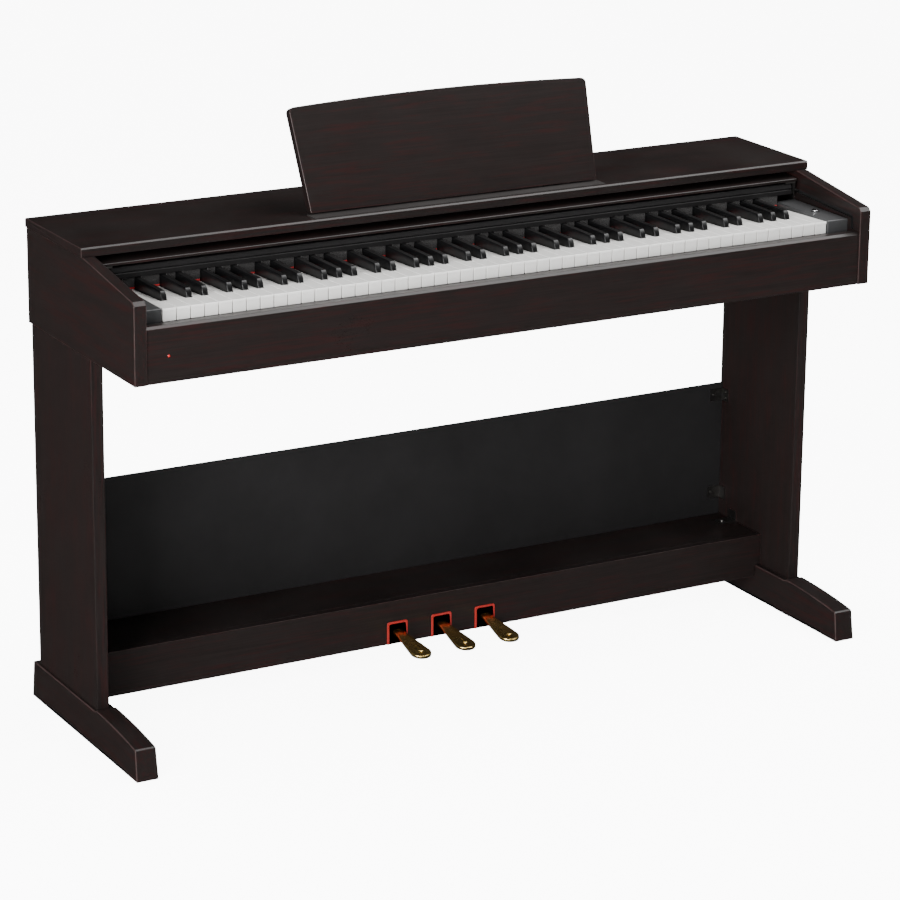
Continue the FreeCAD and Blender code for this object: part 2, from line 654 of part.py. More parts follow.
def foot():
    """Foot with drafted sides, a flat top under the leg and one long arc down to the toe."""
    points = [FreeCAD.Vector(0, at(d), z) for d, z in foot_underside() + [(FOOT_TOE - 7.0, 50.0)]]
    nose_start = FreeCAD.Vector(0, at(409.5), 52.5)
    crest = FreeCAD.Vector(0, at(340.0), 60.5)
    nose_end = FreeCAD.Vector(0, at(262.0), 64.5)
    rear_top = [FreeCAD.Vector(0, at(257.0), LEG_BOTTOM), FreeCAD.Vector(0, at(4.5), LEG_BOTTOM)]
    edges = [Part.LineSegment(a, b).toShape() for a, b in zip(points, points[1:])]
    edges.append(Part.LineSegment(points[-1], nose_start).toShape())
    edges.append(Part.Arc(nose_start, crest, nose_end).toShape())
    edges.append(Part.LineSegment(nose_end, rear_top[0]).toShape())
    edges.append(Part.LineSegment(rear_top[0], rear_top[1]).toShape())
    edges.append(Part.LineSegment(rear_top[1], points[0]).toShape())
    face = Part.Face(Part.Wire(edges))
    face.translate(FreeCAD.Vector(-FOOT_SPAN / 2, 0, 0))
    body = face.extrude(FreeCAD.Vector(FOOT_WIDTH, 0, 0))
    draft = (FOOT_WIDTH - FOOT_TOP_WIDTH) / 2
    outer = -FOOT_SPAN / 2
    tall = 70.0
    for sign, x in ((-1, outer), (1, outer + FOOT_WIDTH)):
        wedge = Part.Face(Part.makePolygon([
            FreeCAD.Vector(x, at(-5), 0), FreeCAD.Vector(x - sign * draft, at(-5), tall),
            FreeCAD.Vector(x + sign * 5, at(-5), tall), FreeCAD.Vector(x + sign * 5, at(-5), 0),
            FreeCAD.Vector(x, at(-5), 0)]))
        body = body.cut(wedge.extrude(FreeCAD.Vector(0, -DEPTH - 10, 0)))
    return body


FOOT_INNER = FOOT_SPAN / 2 - FOOT_WIDTH


def notched_over_feet(board):
    """Cut away both lower corners of a board where the feet stand inwards of the legs."""
    for x0, x1 in ((-INNER, -FOOT_INNER + 0.3), (FOOT_INNER - 0.3, INNER)):
        board = board.cut(block(x0, x1, 0.0, DEPTH, 0.0, LEG_BOTTOM + 0.3))
    return board


def stand_back_board():
    board = block(-INNER, INNER, BACK_BOARD[0], BACK_BOARD[1], RAIL_BOTTOM, BACK_BOARD_TOP)
    return notched_over_feet(board)


def corner_bracket(x, depth, z, wide):
    """Small steel angle between the back board or pedal box and a leg, left side."""
    wall = block(x, x + 1.5, depth, depth + 18.0, z, z + wide)
    back = block(x, x + 26.0, depth, depth + 1.5, z, z + wide)
    return joined([wall, back])


def corner_brackets():
    shapes = []
    for z in (334.0, 150.0):
        bracket = corner_bracket(-INNER, BACK_BOARD[1], z, 22.0)
        shapes += [bracket, mirrored(bracket)]
    shelf = joined([block(-INNER, -INNER + 34.0, 62.0, 84.0, RAIL_TOP, RAIL_TOP + 1.5),
                    block(-INNER, -INNER + 1.5, 62.0, 84.0, RAIL_TOP, RAIL_TOP + 18.0)])
    return group(shapes + [shelf, mirrored(shelf)])


def pedal_centres():
    return (-PEDAL_PITCH, 0.0, PEDAL_PITCH)


def pedal_rail():
    rail = block(-INNER, INNER, RAIL_FRONT - RAIL_THICK, RAIL_FRONT, RAIL_BOTTOM, RAIL_TOP)
    cut_half = SLOT_HALF + BEZEL_WALL
    for x in pedal_centres():
        rail = rail.cut(block(x - cut_half, x + cut_half, 100, 200, 0, SLOT_TOP + BEZEL_WALL))
    return notched_over_feet(rail)


def pedal_box():
    """Top board of the pedal box, between the back board and the pedal rail."""
    return block(-INNER, INNER, BACK_BOARD[1], RAIL_FRONT - RAIL_THICK, RAIL_TOP - 12.0, RAIL_TOP)


def pedal_bezel(x):
    wide = SLOT_HALF + BEZEL_WALL
    outer = block(x - wide, x + wide, RAIL_FRONT - RAIL_THICK - 3.0, RAIL_FRONT, RAIL_BOTTOM,
                  SLOT_TOP + BEZEL_WALL)
    lip = block(x - wide - 1.5, x + wide + 1.5, RAIL_FRONT, RAIL_FRONT + 1.5, RAIL_BOTTOM,
                SLOT_TOP + BEZEL_WALL + 1.5)
    hole = block(x - SLOT_HALF, x + SLOT_HALF, 100.0, 200.0, 0.0, SLOT_TOP)
    return joined([outer, lip]).cut(hole)


def pedal_bezels():
    return group([pedal_bezel(x) for x in pedal_centres()])


def pedal_top(depth):
    """Height of the lever's top face, sloping down from the slot to the tip."""
    return 68.0 - math.tan(PEDAL_SLOPE) * (depth - RAIL_FRONT)


def pedal(x):
    """Brass lever: straight shank, then a blade that widens to a rounded tip."""
    widest = PEDAL_TIP - 18.0
    shank = 9.0
    blade = 18.0
    corner = [(x - shank, RAIL_FRONT + 14.0), (x - blade, widest), (x, PEDAL_TIP), (x + blade, widest),
              (x + shank, RAIL_FRONT + 14.0)]
    p = [FreeCAD.Vector(a, at(d), 0) for a, d in corner]
    rear = [FreeCAD.Vector(x + shank, at(60.0), 0), FreeCAD.Vector(x - shank, at(60.0), 0)]
    edges = [Part.LineSegment(rear[1], p[0]).toShape(), Part.LineSegment(p[0], p[1]).toShape(),
             Part.Arc(p[1], p[2], p[3]).toShape(), Part.LineSegment(p[3], p[4]).toShape(),
             Part.LineSegment(p[4], rear[0]).toShape(), Part.LineSegment(rear[0], rear[1]).toShape()]
    column = Part.Face(Part.Wire(edges)).extrude(FreeCAD.Vector(0, 0, 120))
    side = prism([(60.0, 83.0), (60.0, 72.0), (90.0, 68.0), (RAIL_FRONT, pedal_top(RAIL_FRONT) - PEDAL_THICK),
                  (PEDAL_TIP + 1, pedal_top(PEDAL_TIP + 1) - PEDAL_THICK),
                  (PEDAL_TIP + 1, pedal_top(PEDAL_TIP + 1)), (RAIL_FRONT, pedal_top(RAIL_FRONT)),
                  (95.0, 83.0)], x - 30.0, x + 30.0)
    lever = column.common(side)
    return lever.cut(rod_x(x - 30.0, x + 30.0, PEDAL_AXLE[0], PEDAL_AXLE[1], 4.08))


def pedal_frame():
    """Steel channel under the pedal box's top board, with cheeks and one axle."""
    roof = RAIL_TOP - 12.0
    parts = [block(-130.0, 130.0, 50.0, 148.0, roof - 2.0, roof)]
    for x in (-130.0, -55.0, -30.0, 27.0, 52.0, 127.0):
        parts.append(block(x, x + 3.0, 55.0, 100.0, 62.0, roof))
    axle = rod_x(-130.0, 130.0, PEDAL_AXLE[0], PEDAL_AXLE[1], 4.0)
    return joined(parts + [axle])


# ---- electronics and fasteners -------------------------------------------------------------

def speakers():
    """Two oval drivers over the openings of the key bed: flange, basket and magnet."""
    shapes = []
    for x in (-SPEAKER_X, SPEAKER_X):
        flange = block(x - 70.0, x + 70.0, SPEAKER_DEPTH - 44.0, SPEAKER_DEPTH + 44.0, BED_TOP, BED_TOP + 3.0)
        hole = block(x - 56.0, x + 56.0, SPEAKER_DEPTH - 31.0, SPEAKER_DEPTH + 31.0, 0.0, BED_TOP + 3.0)
        basket = Part.makeLoft([
            Part.makePolygon([FreeCAD.Vector(x + sx * w, at(SPEAKER_DEPTH) + sy * d, z)
                              for sx, sy in ((-1, -1), (1, -1), (1, 1), (-1, 1), (-1, -1))])
            for w, d, z in ((60.0, 34.0, BED_TOP + 3.0), (28.0, 28.0, BED_TOP + 32.0))], True)
        magnet = rod_z(x, SPEAKER_DEPTH, BED_TOP + 32.0, BED_TOP + 46.0, 26.0)
        shapes.append(joined([flange.cut(hole), basket, magnet]))
    return group(shapes)


def speaker_grilles():
    """Slotted covers under the key bed, one below each driver."""
    shapes = []
    for x in (-SPEAKER_X, SPEAKER_X):
        plate_shape = block(x - 72.0, x + 72.0, SPEAKER_DEPTH - 46.0, SPEAKER_DEPTH + 46.0,
                            BODY_BOTTOM, BODY_BOTTOM + 2.0)
        for k in range(9):
            d = SPEAKER_DEPTH - 30.0 + 7.0 * k
            plate_shape = plate_shape.cut(block(x - 54.0, x + 54.0, d, d + 3.5, 0.0, BED_TOP))
        shapes.append(plate_shape)
    return group(shapes)


def circuit_board(x0, x1, d0, d1, chips):
    """Board on four pillars with a few components on it."""
    z = BED_TOP + 8.0
    parts = [block(x0, x1, d0, d1, z, z + 1.6)]
    for x in (x0 + 6.0, x1 - 6.0):
        for d in (d0 + 6.0, d1 - 6.0):
            parts.append(rod_z(x, d, BED_TOP, z, 3.0))
    for k in range(chips):
        x = x0 + 22.0 + k * (x1 - x0 - 60.0) / max(chips - 1, 1)
        tall = 3.0 + 5.0 * (k % 2)
        parts.append(block(x, x + 16.0, (d0 + d1) / 2 - 9.0, (d0 + d1) / 2 + 9.0, z + 1.6, z + 1.6 + tall))
    return joined(parts)


def circuit_boards():
    main = circuit_board(-120.0, 140.0, 30.0, 130.0, 6)
    amplifier = circuit_board(220.0, 340.0, 30.0, 120.0, 3)
    return group([main, amplifier])


DC_X = -486.0
PEDAL_JACK_X = -546.0
JACK_Z = 684.0


def jack_panel():
    """Connector plate in the rear panel: DC inlet, square data socket, small round pedal jack."""
    x0, x1, z0, z1 = JACK_OPENING
    plate_shape = block(x0 - 5.0, x1 + 5.0, REAR_PANEL[0] - 1.5, REAR_PANEL[0], z0 - 5.0, z1 + 5.0)
    dc = block(DC_X - 6.0, DC_X + 6.0, REAR_PANEL[0], REAR_PANEL[0] + 12.0, JACK_Z - 6.0, JACK_Z + 6.0)
    jack = block(PEDAL_JACK_X - 6.0, PEDAL_JACK_X + 6.0, REAR_PANEL[0], REAR_PANEL[0] + 16.0,
                 JACK_Z - 6.0, JACK_Z + 6.0)
    data = block(-522.0, -508.0, REAR_PANEL[0], REAR_PANEL[0] + 14.0, JACK_Z - 7.0, JACK_Z + 7.0)
    shape = joined([plate_shape, dc, jack, data])
    shape = shape.cut(rod_out(DC_X, REAR_PANEL[0] - 3.0, JACK_Z, 12.0, 3.15))
    shape = shape.cut(rod_out(PEDAL_JACK_X, REAR_PANEL[0] - 3.0, JACK_Z, 16.0, 1.8))
    shape = shape.cut(block(-519.0, -511.0, 0.0, REAR_PANEL[0] + 11.0, JACK_Z - 4.0, JACK_Z + 4.0))
    tongue = block(-517.5, -512.5, REAR_PANEL[0] + 1.0, REAR_PANEL[0] + 12.0, JACK_Z - 1.6, JACK_Z + 1.6)
    pin = rod_out(DC_X, REAR_PANEL[0] + 0.5, JACK_Z, 9.5, 0.9)
    return joined([shape, tongue, pin])


PHONES_X = (-586.0, -560.0)
PHONES_Z = BODY_BOTTOM - 8.0
PHONES_FRONT = 312.0


def headphone_box():
    """Small box under the key bed with two headphone sockets facing the player."""
    low = BODY_BOTTOM - 18.0
    outline = [(268.0, low + 3.0), (271.0, low), (PHONES_FRONT - 2.0, low), (PHONES_FRONT, low + 2.0),
               (PHONES_FRONT, BODY_BOTTOM + 2.0), (268.0, BODY_BOTTOM + 2.0)]
    shape = prism(outline, -606.0, -540.0)
    for x in PHONES_X:
        shape = shape.cut(rod_out(x, PHONES_FRONT - 32.0, PHONES_Z, 40.0, 3.25))
    return shape


def screw_out(x, depth, z, radius):
    """Pan-head screw whose head faces the player."""
    head = rod_out(x, depth, z, radius * 0.6, radius)
    socket = block(x - radius * 0.6, x + radius * 0.6, depth + radius * 0.3, depth + radius,
                   z - 0.4, z + 0.4)
    return head.cut(socket)


def screws():
    shapes = []
    for sign in (-1, 1):
        for z in (345.0, 161.0):
            shapes.append(screw_out(sign * (INNER - 18.0), BACK_BOARD[1] + 1.5, z, 3.5))
        for z in (339.5, 350.5):
            x = sign * (INNER - 1.5)
            direction = FreeCAD.Vector(-sign, 0, 0)
            place = FreeCAD.Vector(x, at(BACK_BOARD[1] + 10.0), z)
            shapes.append(Part.makeCylinder(3.5, 2.0, place, direction))
        shapes.append(rod_z(sign * (INNER - 22.0), 73.0, RAIL_TOP + 1.5, RAIL_TOP + 3.5, 4.0))
    return group(shapes)


def main():
    os.makedirs("parts", exist_ok=True)
    write("left_side_panel", side_panel())
    write("right_side_panel", mirrored(side_panel()))
    write("top_board", top_board())
    write("rear_panel", rear_panel())
    write("key_bed", key_bed())
    write("key_slip", key_slip())
    write("power_lamp", power_lamp())
    write("fallboard", fallboard())
    write("left_end_block", left_end_block())
    write("right_end_block", right_end_block())
    write("power_button", push_button(BUTTON_X, BUTTON_DEPTH))
    write("voice_button", push_button(-BUTTON_X, VOICE_DEPTH))
    write("volume_slider", volume_slider())
    write_keys()
    write("keyboard_frame", keyboard_frame())
    write("contact_strip", contact_strip())
    write("key_felt", key_felt())
    write("key_cover", key_cover())
    write("cover_arms", cover_arms())
    write("cover_shaft", cover_shaft())
    write("cover_rails", cover_rails())
    write("music_rest", music_rest())
    write("rest_hinges", rest_hinges())
    write("rest_base", rest_base())
    write("rest_supports", rest_supports())
    write("left_leg", leg())
    write("right_leg", mirrored(leg()))
    write("left_foot", foot())
    write("right_foot", mirrored(foot()))
    write("stand_back_board", stand_back_board())
    write("corner_brackets", corner_brackets())
    write("pedal_rail", pedal_rail())
    write("pedal_box", pedal_box())
    write("pedal_bezels", pedal_bezels())
    for name, x in zip(("left", "middle", "right"), pedal_centres()):
        write("pedal_" + name, pedal(x))
    write("pedal_frame", pedal_frame())
    write("speakers", speakers())
    write("speaker_grilles", speaker_grilles())
    write("circuit_boards", circuit_boards())
    write("jack_panel", jack_panel())
    write("headphone_box", headphone_box())
    write("screws", screws())


main()
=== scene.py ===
import math

import bpy
import numpy as np
from mathutils import Matrix, Vector
from mathutils.geometry import tessellate_polygon


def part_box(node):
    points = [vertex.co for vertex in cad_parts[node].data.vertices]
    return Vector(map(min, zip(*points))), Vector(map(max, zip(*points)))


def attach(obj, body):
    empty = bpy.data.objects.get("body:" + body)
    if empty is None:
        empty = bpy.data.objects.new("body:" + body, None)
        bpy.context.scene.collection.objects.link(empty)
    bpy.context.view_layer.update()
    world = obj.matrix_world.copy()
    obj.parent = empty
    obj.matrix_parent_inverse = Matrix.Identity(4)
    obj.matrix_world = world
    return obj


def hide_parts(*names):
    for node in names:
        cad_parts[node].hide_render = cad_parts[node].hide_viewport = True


# Looks of a digital piano on its stand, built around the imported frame. Metres, Z up, player on -Y.
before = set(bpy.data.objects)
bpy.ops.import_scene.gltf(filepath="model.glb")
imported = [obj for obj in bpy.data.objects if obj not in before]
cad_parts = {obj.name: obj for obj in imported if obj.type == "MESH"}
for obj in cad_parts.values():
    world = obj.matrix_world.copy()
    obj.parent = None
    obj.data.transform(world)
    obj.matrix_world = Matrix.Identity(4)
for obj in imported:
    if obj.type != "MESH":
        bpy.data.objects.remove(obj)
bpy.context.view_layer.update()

MM = 0.001
REAR_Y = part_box("left_foot")[1].y  # rear plane of the instrument, depths are counted from it

# Places shared by several pieces, in millimetres.
PEDAL_X = {"left": -85.0, "middle": 0.0, "right": 85.0}
SPEAKER_X = 470.0
BUTTON_X = 633.0
VOICE_DEPTH = 345.0
POWER_DEPTH = 322.0
BUTTON_HOLE = 6.4
COVER_FALL = math.tan(math.radians(3.5))  # drop of the cover's slide per unit of depth
PEDAL_FALL = math.tan(math.radians(7.6))  # drop of a pedal's blade per unit of depth
FOOT_INNER_X = 643.0
# The felt is painted black above this height: a painted shadow under the name board.
FELT_SHADOW_LINE = 0.7452  # metres; the felt is black above it


def at(depth):
    """Y of a depth in millimetres in front of the rear plane."""
    return REAR_Y - depth * MM


# ---- shape mathematics ----------------------------------------------------------------------

def lengths(vectors):
    """Length of each vector, kept as a last column of one."""
    return np.sqrt((vectors ** 2).sum(-1, keepdims=True))


def fillets(corners, radii, steps=4):
    """Closed outline with rounded corners, walked counter-clockwise.

    A corner P between edges with outward normals m and n gets a circle of its radius r, centred
    s r (m + n) / (1 + m.n) inside it, where s is the turn's sign. The arc is centre + s r q, and q
    turns evenly from m to n. A corner of radius 0 stays one point of a smooth curve, with the
    normal half way. Returns the points and their outward normals.
    """
    p = np.asarray(corners, float)
    r = np.broadcast_to(np.asarray(radii, float), len(p)).copy()
    nxt = np.roll(p, -1, 0)
    if (p[:, 0] * nxt[:, 1] - nxt[:, 0] * p[:, 1]).sum() < 0:
        p, r = p[::-1], r[::-1]
    into = p - np.roll(p, 1, 0)
    out = np.roll(p, -1, 0) - p
    m = np.stack([into[:, 1], -into[:, 0]], 1) / lengths(into)
    n = np.stack([out[:, 1], -out[:, 0]], 1) / lengths(out)
    dot = (m * n).sum(1)
    turn = np.arctan2(m[:, 0] * n[:, 1] - m[:, 1] * n[:, 0], dot)
    side = np.where(turn < 0, -1.0, 1.0)
    centre = p - (side * r / (1 + dot))[:, None] * (m + n)
    share = np.linspace(0, 1, steps + 1)
    angle = turn[:, None] * np.where(r[:, None] > 0, share, 0.5)
    c, s = np.cos(angle), np.sin(angle)
    q = np.stack([c * m[:, :1] - s * m[:, 1:], s * m[:, :1] + c * m[:, 1:]], 2)
    points = centre[:, None] + (side * r)[:, None, None] * q
    keep = (r[:, None] > 0) | (np.arange(steps + 1) == 0)
    return points[keep], q[keep]


def circle(radius, count=32, middle=(0.0, 0.0)):
    """Points and normals of a circle: the middle plus radius times (cos t, sin t)."""
    t = np.linspace(0, 2 * np.pi, count, endpoint=False)
    n = np.stack([np.cos(t), np.sin(t)], 1)
    return np.asarray(middle) + radius * n, n


AXES = {"x": (1, 2, 0), "y": (2, 0, 1), "z": (0, 1, 2)}


def placed(values, axis):
    """Columns (u, v, along) put into X, Y, Z so that u cross v points along the axis."""
    out = np.empty_like(values)
    out[..., list(AXES[axis])] = values
    return out


def shell(points, normals, rings, count, first_cap=True, last_cap=True):
    """Quads between neighbouring closed rings of a grid, and a many-sided face over each end."""
    i = np.arange(rings - 1)[:, None] * count
    j = np.arange(count)[None]
    k = (j + 1) % count
    quads = np.stack([i + j, i + k, i + count + k, i + count + j], 2).reshape(-1, 4)
    faces = quads.tolist()
    if first_cap:
        faces.append(list(range(count))[::-1])
    if last_cap:
        faces.append(list(range((rings - 1) * count, rings * count)))
    return {"points": points.reshape(-1, 3), "normals": normals.reshape(-1, 3), "faces": faces}


def ease_rings(start, end, ease, steps):
    """Stations of a carried outline: at angle t from 90 to 0 degrees the ring is inset by
    e (1 - cos t), lies e (1 - sin t) inside the end, and its normal leans out by t."""
    e0, e1 = (ease, ease) if np.isscalar(ease) else ease
    t = np.linspace(np.pi / 2, 0, steps + 1)
    along = np.concatenate([start + e0 * (1 - np.sin(t)), end - e1 * (1 - np.sin(t[::-1]))])
    inset = np.concatenate([e0 * (1 - np.cos(t)), e1 * (1 - np.cos(t[::-1]))])
    return along, inset, np.concatenate([-t, t[::-1]])


def sweep(outline, normals, along, inset, lean, axis):
    """Grid of an outline moved inwards by inset and along an axis, its normals leaning by lean."""
    rings = outline[None] - normals[None] * inset[:, None, None]
    w = np.broadcast_to(along[:, None, None], rings.shape[:2] + (1,))
    c, s = np.cos(lean)[:, None, None], np.sin(lean)[:, None, None]
    lean_w = np.broadcast_to(s, rings.shape[:2] + (1,))
    points = placed(np.concatenate([rings, w], 2), axis)
    tilted = placed(np.concatenate([normals[None] * c, lean_w], 2), axis)
    return points, tilted


def board(corners, radii, start, end, ease=0.6, axis="x", steps=3, round_steps=4):
    """Outline with rounded corners carried along an axis, with a quarter-round arris at both ends.
    All in millimetres; an outline across X is given as (y, z), across Y as (z, x), across Z as (x, y)."""
    outline, normals = fillets(corners, radii, round_steps)
    return board_of(outline, normals, start, end, ease, axis, steps)


def board_of(outline, normals, start, end, ease=0.6, axis="x", steps=3):
    """The same from an outline that is already worked out with its normals."""
    e = np.asarray(ease, float)
    along, inset, lean = ease_rings(start, end, ease, steps)
    points, tilted = sweep(outline, normals, along, inset, lean, axis)
    made = shell(points * MM, tilted, len(along), len(outline))
    # Arris weight, highest half way round each rounded end; the finishes paint a highlight there.
    arris_lit = np.abs(np.sin(2 * lean))[:, None] * np.ones(len(outline))
    made["arris"] = arris_lit.reshape(-1) if e.any() else None
    return made


def pierced(outline, normals, start, end, ease, holes, axis="x", deep=None, steps=3):
    """A board with holes. Each hole is (points, normals) of a closed outline. With deep, the holes are
    pockets that deep from the end face; without, they run right through. The faces with holes are
    cut into triangles, and the walls of each hole share their edges with them."""
    along, inset, lean = ease_rings(start, end, ease, steps)
    points, tilted = sweep(outline, normals, along, inset, lean, axis)
    rings, count = len(along), len(outline)
    body = shell(points, tilted, rings, count, first_cap=deep is not None, last_cap=False)
    verts, norms, faces = [body["points"]], [body["normals"]], [list(f) for f in body["faces"]]
    face_normals = [list(f) for f in faces]
    paint = [0] * len(faces)
    total = rings * count
    floor = end - deep if deep is not None else start
    rims = []
    for hole, hole_normals in holes:
        n = len(hole)
        two = np.stack([hole, hole])
        w = np.broadcast_to(np.array([end, floor])[:, None, None], (2, n, 1))
        verts.append(placed(np.concatenate([two, w], 2), axis).reshape(-1, 3))
        flat = np.zeros((2, n, 1))
        norms.append(placed(np.concatenate([-np.stack([hole_normals] * 2), flat], 2), axis).reshape(-1, 3))
        j = np.arange(n)
        k = (j + 1) % n
        walls = total + np.stack([j, k, n + k, n + j], 1)
        faces += walls.tolist()
        face_normals += walls.tolist()
        paint += [1] * n
        rims.append((total, n))
        total += 2 * n
    up = placed(np.array([[0.0, 0.0, 1.0], [0.0, 0.0, -1.0]]), axis)
    norms.append(up)
    top, bottom = total, total + 1
    all_points = np.concatenate(verts)

    def capped(ring_start, offset, sign, normal):
        """Triangles over an end face, around the rims of its holes."""
        loops = [list(range(ring_start, ring_start + count))]
        loops += [list(range(s + offset * n, s + offset * n + n)) for s, n in rims]
        index = [i for loop in loops for i in loop]
        flat = [[tuple(all_points[i]) for i in loop] for loop in loops]
        u, v, _ = AXES[axis]
        for tri in tessellate_polygon(flat):
            ids = [index[i] for i in tri]
            a, b, c = (all_points[i] for i in ids)
            turn = (b[u] - a[u]) * (c[v] - a[v]) - (b[v] - a[v]) * (c[u] - a[u])
            if turn * sign < 0:
                ids.reverse()
            if abs(turn) > 1e-12:
                faces.append(ids)
                face_normals.append([normal] * 3)
                paint.append(0)

    capped((rings - 1) * count, 0, 1, top)
    if deep is None:
        capped(0, 1, -1, bottom)
    else:
        for s, n in rims:
            faces.append(list(range(s + n, s + 2 * n)))
            face_normals.append([top] * n)
            paint.append(1)
    # Arris weight for the painted highlight: rounded outer ends only, none on the hole walls.
    arris_lit = np.concatenate([np.repeat(np.abs(np.sin(2 * lean)), count), np.zeros(total - rings * count)])
    return {"points": all_points * MM, "normals": np.concatenate(norms), "faces": faces,
            "face_normals": face_normals, "arris": arris_lit, "paint": paint}


def turned(profile, axis, middle, count=32):
    """Round piece: a profile of (radius, height) points revolved, closed at both ends on its axis.
    Normals come from the profile's own direction, turned a quarter."""
    q = np.asarray(profile, float)
    step = np.gradient(q, axis=0)
    side = np.stack([step[:, 1], -step[:, 0]], 1)
    side /= lengths(side)
    t = np.linspace(0, 2 * np.pi, count, endpoint=False)
    ring = np.stack([np.cos(t), np.sin(t)], 1)
    uv = ring[None] * q[:, :1, None] + np.asarray(middle[:2], float)
    w = np.broadcast_to(q[:, 1][:, None, None] + middle[2], uv.shape[:2] + (1,))
    points = placed(np.concatenate([uv, w], 2), axis)
    lean = np.broadcast_to(side[:, 1][:, None, None], w.shape)
    normals = placed(np.concatenate([ring[None] * side[:, 0][:, None, None], lean], 2), axis)
    return shell(points * MM, normals, len(q), count)


def grid_normals(grid):
    """Normals of closed rings: the cross product of the steps around and along the grid."""
    around = np.roll(grid, -1, 1) - np.roll(grid, 1, 1)
    along = np.gradient(grid, axis=0)
    n = np.cross(around, along)
    return n / np.maximum(lengths(n), 1e-12)


def lofted(grid):
    """Closed surface through a stack of rings, given in millimetres as an array (ring, point, xyz)."""
    normals = grid_normals(grid)
    return shell(grid * MM, normals, grid.shape[0], grid.shape[1])


def moved(made, matrix):
    """A shell turned and moved by a rigid matrix."""
    m = np.array(matrix)
    made["points"] = made["points"] @ m[:3, :3].T + m[:3, 3]
    made["normals"] = made["normals"] @ m[:3, :3].T
    return made


def mirrored(made):
    """The same shell on the other side of X = 0, its faces turned round so that they still point out."""
    flip = np.array([-1.0, 1.0, 1.0])
    other = dict(made)
    other["points"] = made["points"] * flip
    other["normals"] = made["normals"] * flip
    other["faces"] = [f[::-1] for f in made["faces"]]
    if "face_normals" in made:
        other["face_normals"] = [f[::-1] for f in made["face_normals"]]
    return other


def piece(name, shells, body, slot, materials, *nodes):
    """One named mesh from closed shells, riding on a body and standing for its CAD nodes."""
    points, faces, corner_normals, arris, paint, total = [], [], [], [], [], 0
    for made in shells:
        points.append(made["points"])
        faces += [[i + total for i in f] for f in made["faces"]]
        wanted = made.get("face_normals", made["faces"])
        flat = np.fromiter((i for f in wanted for i in f), int)
        n = made["normals"][flat]
        corner_normals.append(n / np.maximum(lengths(n), 1e-9))
        arris_lit = made.get("arris")
        arris.append(np.zeros(len(made["points"])) if arris_lit is None else arris_lit)
        paint += made.get("paint", [0] * len(made["faces"]))
        total += len(made["points"])
    mesh = bpy.data.meshes.new(name)
    mesh.from_pydata(np.concatenate(points).tolist(), [], faces)
    mesh.shade_smooth()
    mesh.normals_split_custom_set(np.concatenate(corner_normals).tolist())
    edge = mesh.attributes.new("arris", "FLOAT", "POINT")
    edge.data.foreach_set("value", np.concatenate(arris).astype(np.float32))
    for material in materials if isinstance(materials, list) else [materials]:
        mesh.materials.append(material)
    mesh.polygons.foreach_set("material_index", paint)
    made_object = bpy.data.objects.new(name, mesh)
    bpy.context.scene.collection.objects.link(made_object)
    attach(made_object, body)
    if nodes:
        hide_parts(*nodes)
    return made_object


def span(node):
    """Box of a CAD node in millimetres: x0, x1, rear depth, front depth, z0, z1."""
    lo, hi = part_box(node)
    return (lo.x / MM, hi.x / MM, (REAR_Y - hi.y) / MM, (REAR_Y - lo.y) / MM, lo.z / MM, hi.z / MM)


def yz(corners):
    """(depth, height) corners turned into (y, z) millimetres."""
    return [(REAR_Y / MM - d, z) for d, z in corners]


def ring_around(profile, axis, middle, count=32):
    """Closed ring: a closed profile of (radius, height) points revolved, with rounded sections."""
    q = np.asarray(profile, float)
    t = np.linspace(0, 2 * np.pi, count, endpoint=False)
    ring = np.stack([np.cos(t), np.sin(t)], 1)
    step = np.roll(q, -1, 0) - np.roll(q, 1, 0)
    side = np.stack([step[:, 1], -step[:, 0]], 1) / lengths(step)
    uv = ring[:, None] * q[None, :, :1] + np.asarray(middle[:2], float)
    w = np.broadcast_to(q[None, :, 1:] + middle[2], uv.shape[:2] + (1,))
    points = placed(np.concatenate([uv, w], 2), axis)
    lean = np.broadcast_to(side[None, :, 1:], w.shape)
    normals = placed(np.concatenate([ring[:, None] * side[None, :, :1], lean], 2), axis)
    n = len(q)
    i, j = np.arange(count)[:, None], np.arange(n)[None]
    a, b = i * n + j, i * n + (j + 1) % n
    c, d = ((i + 1) % count) * n + (j + 1) % n, ((i + 1) % count) * n + j
    faces = np.stack([a, d, c, b], 2).reshape(-1, 4).tolist()
    return {"points": points.reshape(-1, 3) * MM, "normals": normals.reshape(-1, 3), "faces": faces}


# ---- finishes -------------------------------------------------------------------------------

def add(tree, kind, inputs=None, **settings):
    """A node with its settings; each input takes a value or the socket that feeds it."""
    made = tree.nodes.new(kind)
    for name, value in settings.items():
        setattr(made, name, value)
    for name, value in (inputs or {}).items():
        if isinstance(value, bpy.types.NodeSocket):
            tree.links.new(value, made.inputs[name])
        else:
            made.inputs[name].default_value = value
    return made


def maths(tree, operation, a, b=0.0, clamp=False):
    """Result of one sum on two values or sockets."""
    return add(tree, "ShaderNodeMath", {0: a, 1: b}, operation=operation, use_clamp=clamp).outputs[0]


def ranged(tree, value, low, high, to_low=0.0, to_high=1.0):
    """A value carried from one range to another, and held at its ends."""
    return add(tree, "ShaderNodeMapRange", {"Value": value, "From Min": low, "From Max": high,
                                            "To Min": to_low, "To Max": to_high}).outputs[0]


def stretched_noise(tree, vector, scale, detail=4.0, roughness=0.55, distortion=0.0):
    """Noise at a different scale along each axis, in cycles per metre."""
    spread = add(tree, "ShaderNodeVectorMath", {0: vector, 1: scale}, operation="MULTIPLY").outputs[0]
    return add(tree, "ShaderNodeTexNoise", {"Vector": spread, "Scale": 1.0, "Detail": detail,
                                            "Roughness": roughness, "Distortion": distortion}).outputs[0]


def mixed(tree, factor, a, b, blend="MIX"):
    """Two colours mixed by a factor."""
    made = add(tree, "ShaderNodeMix", data_type="RGBA", blend_type=blend)
    for index, value in ((0, factor), (6, a), (7, b)):
        if isinstance(value, bpy.types.NodeSocket):
            tree.links.new(value, made.inputs[index])
        else:
            made.inputs[index].default_value = value
    return made.outputs[2]


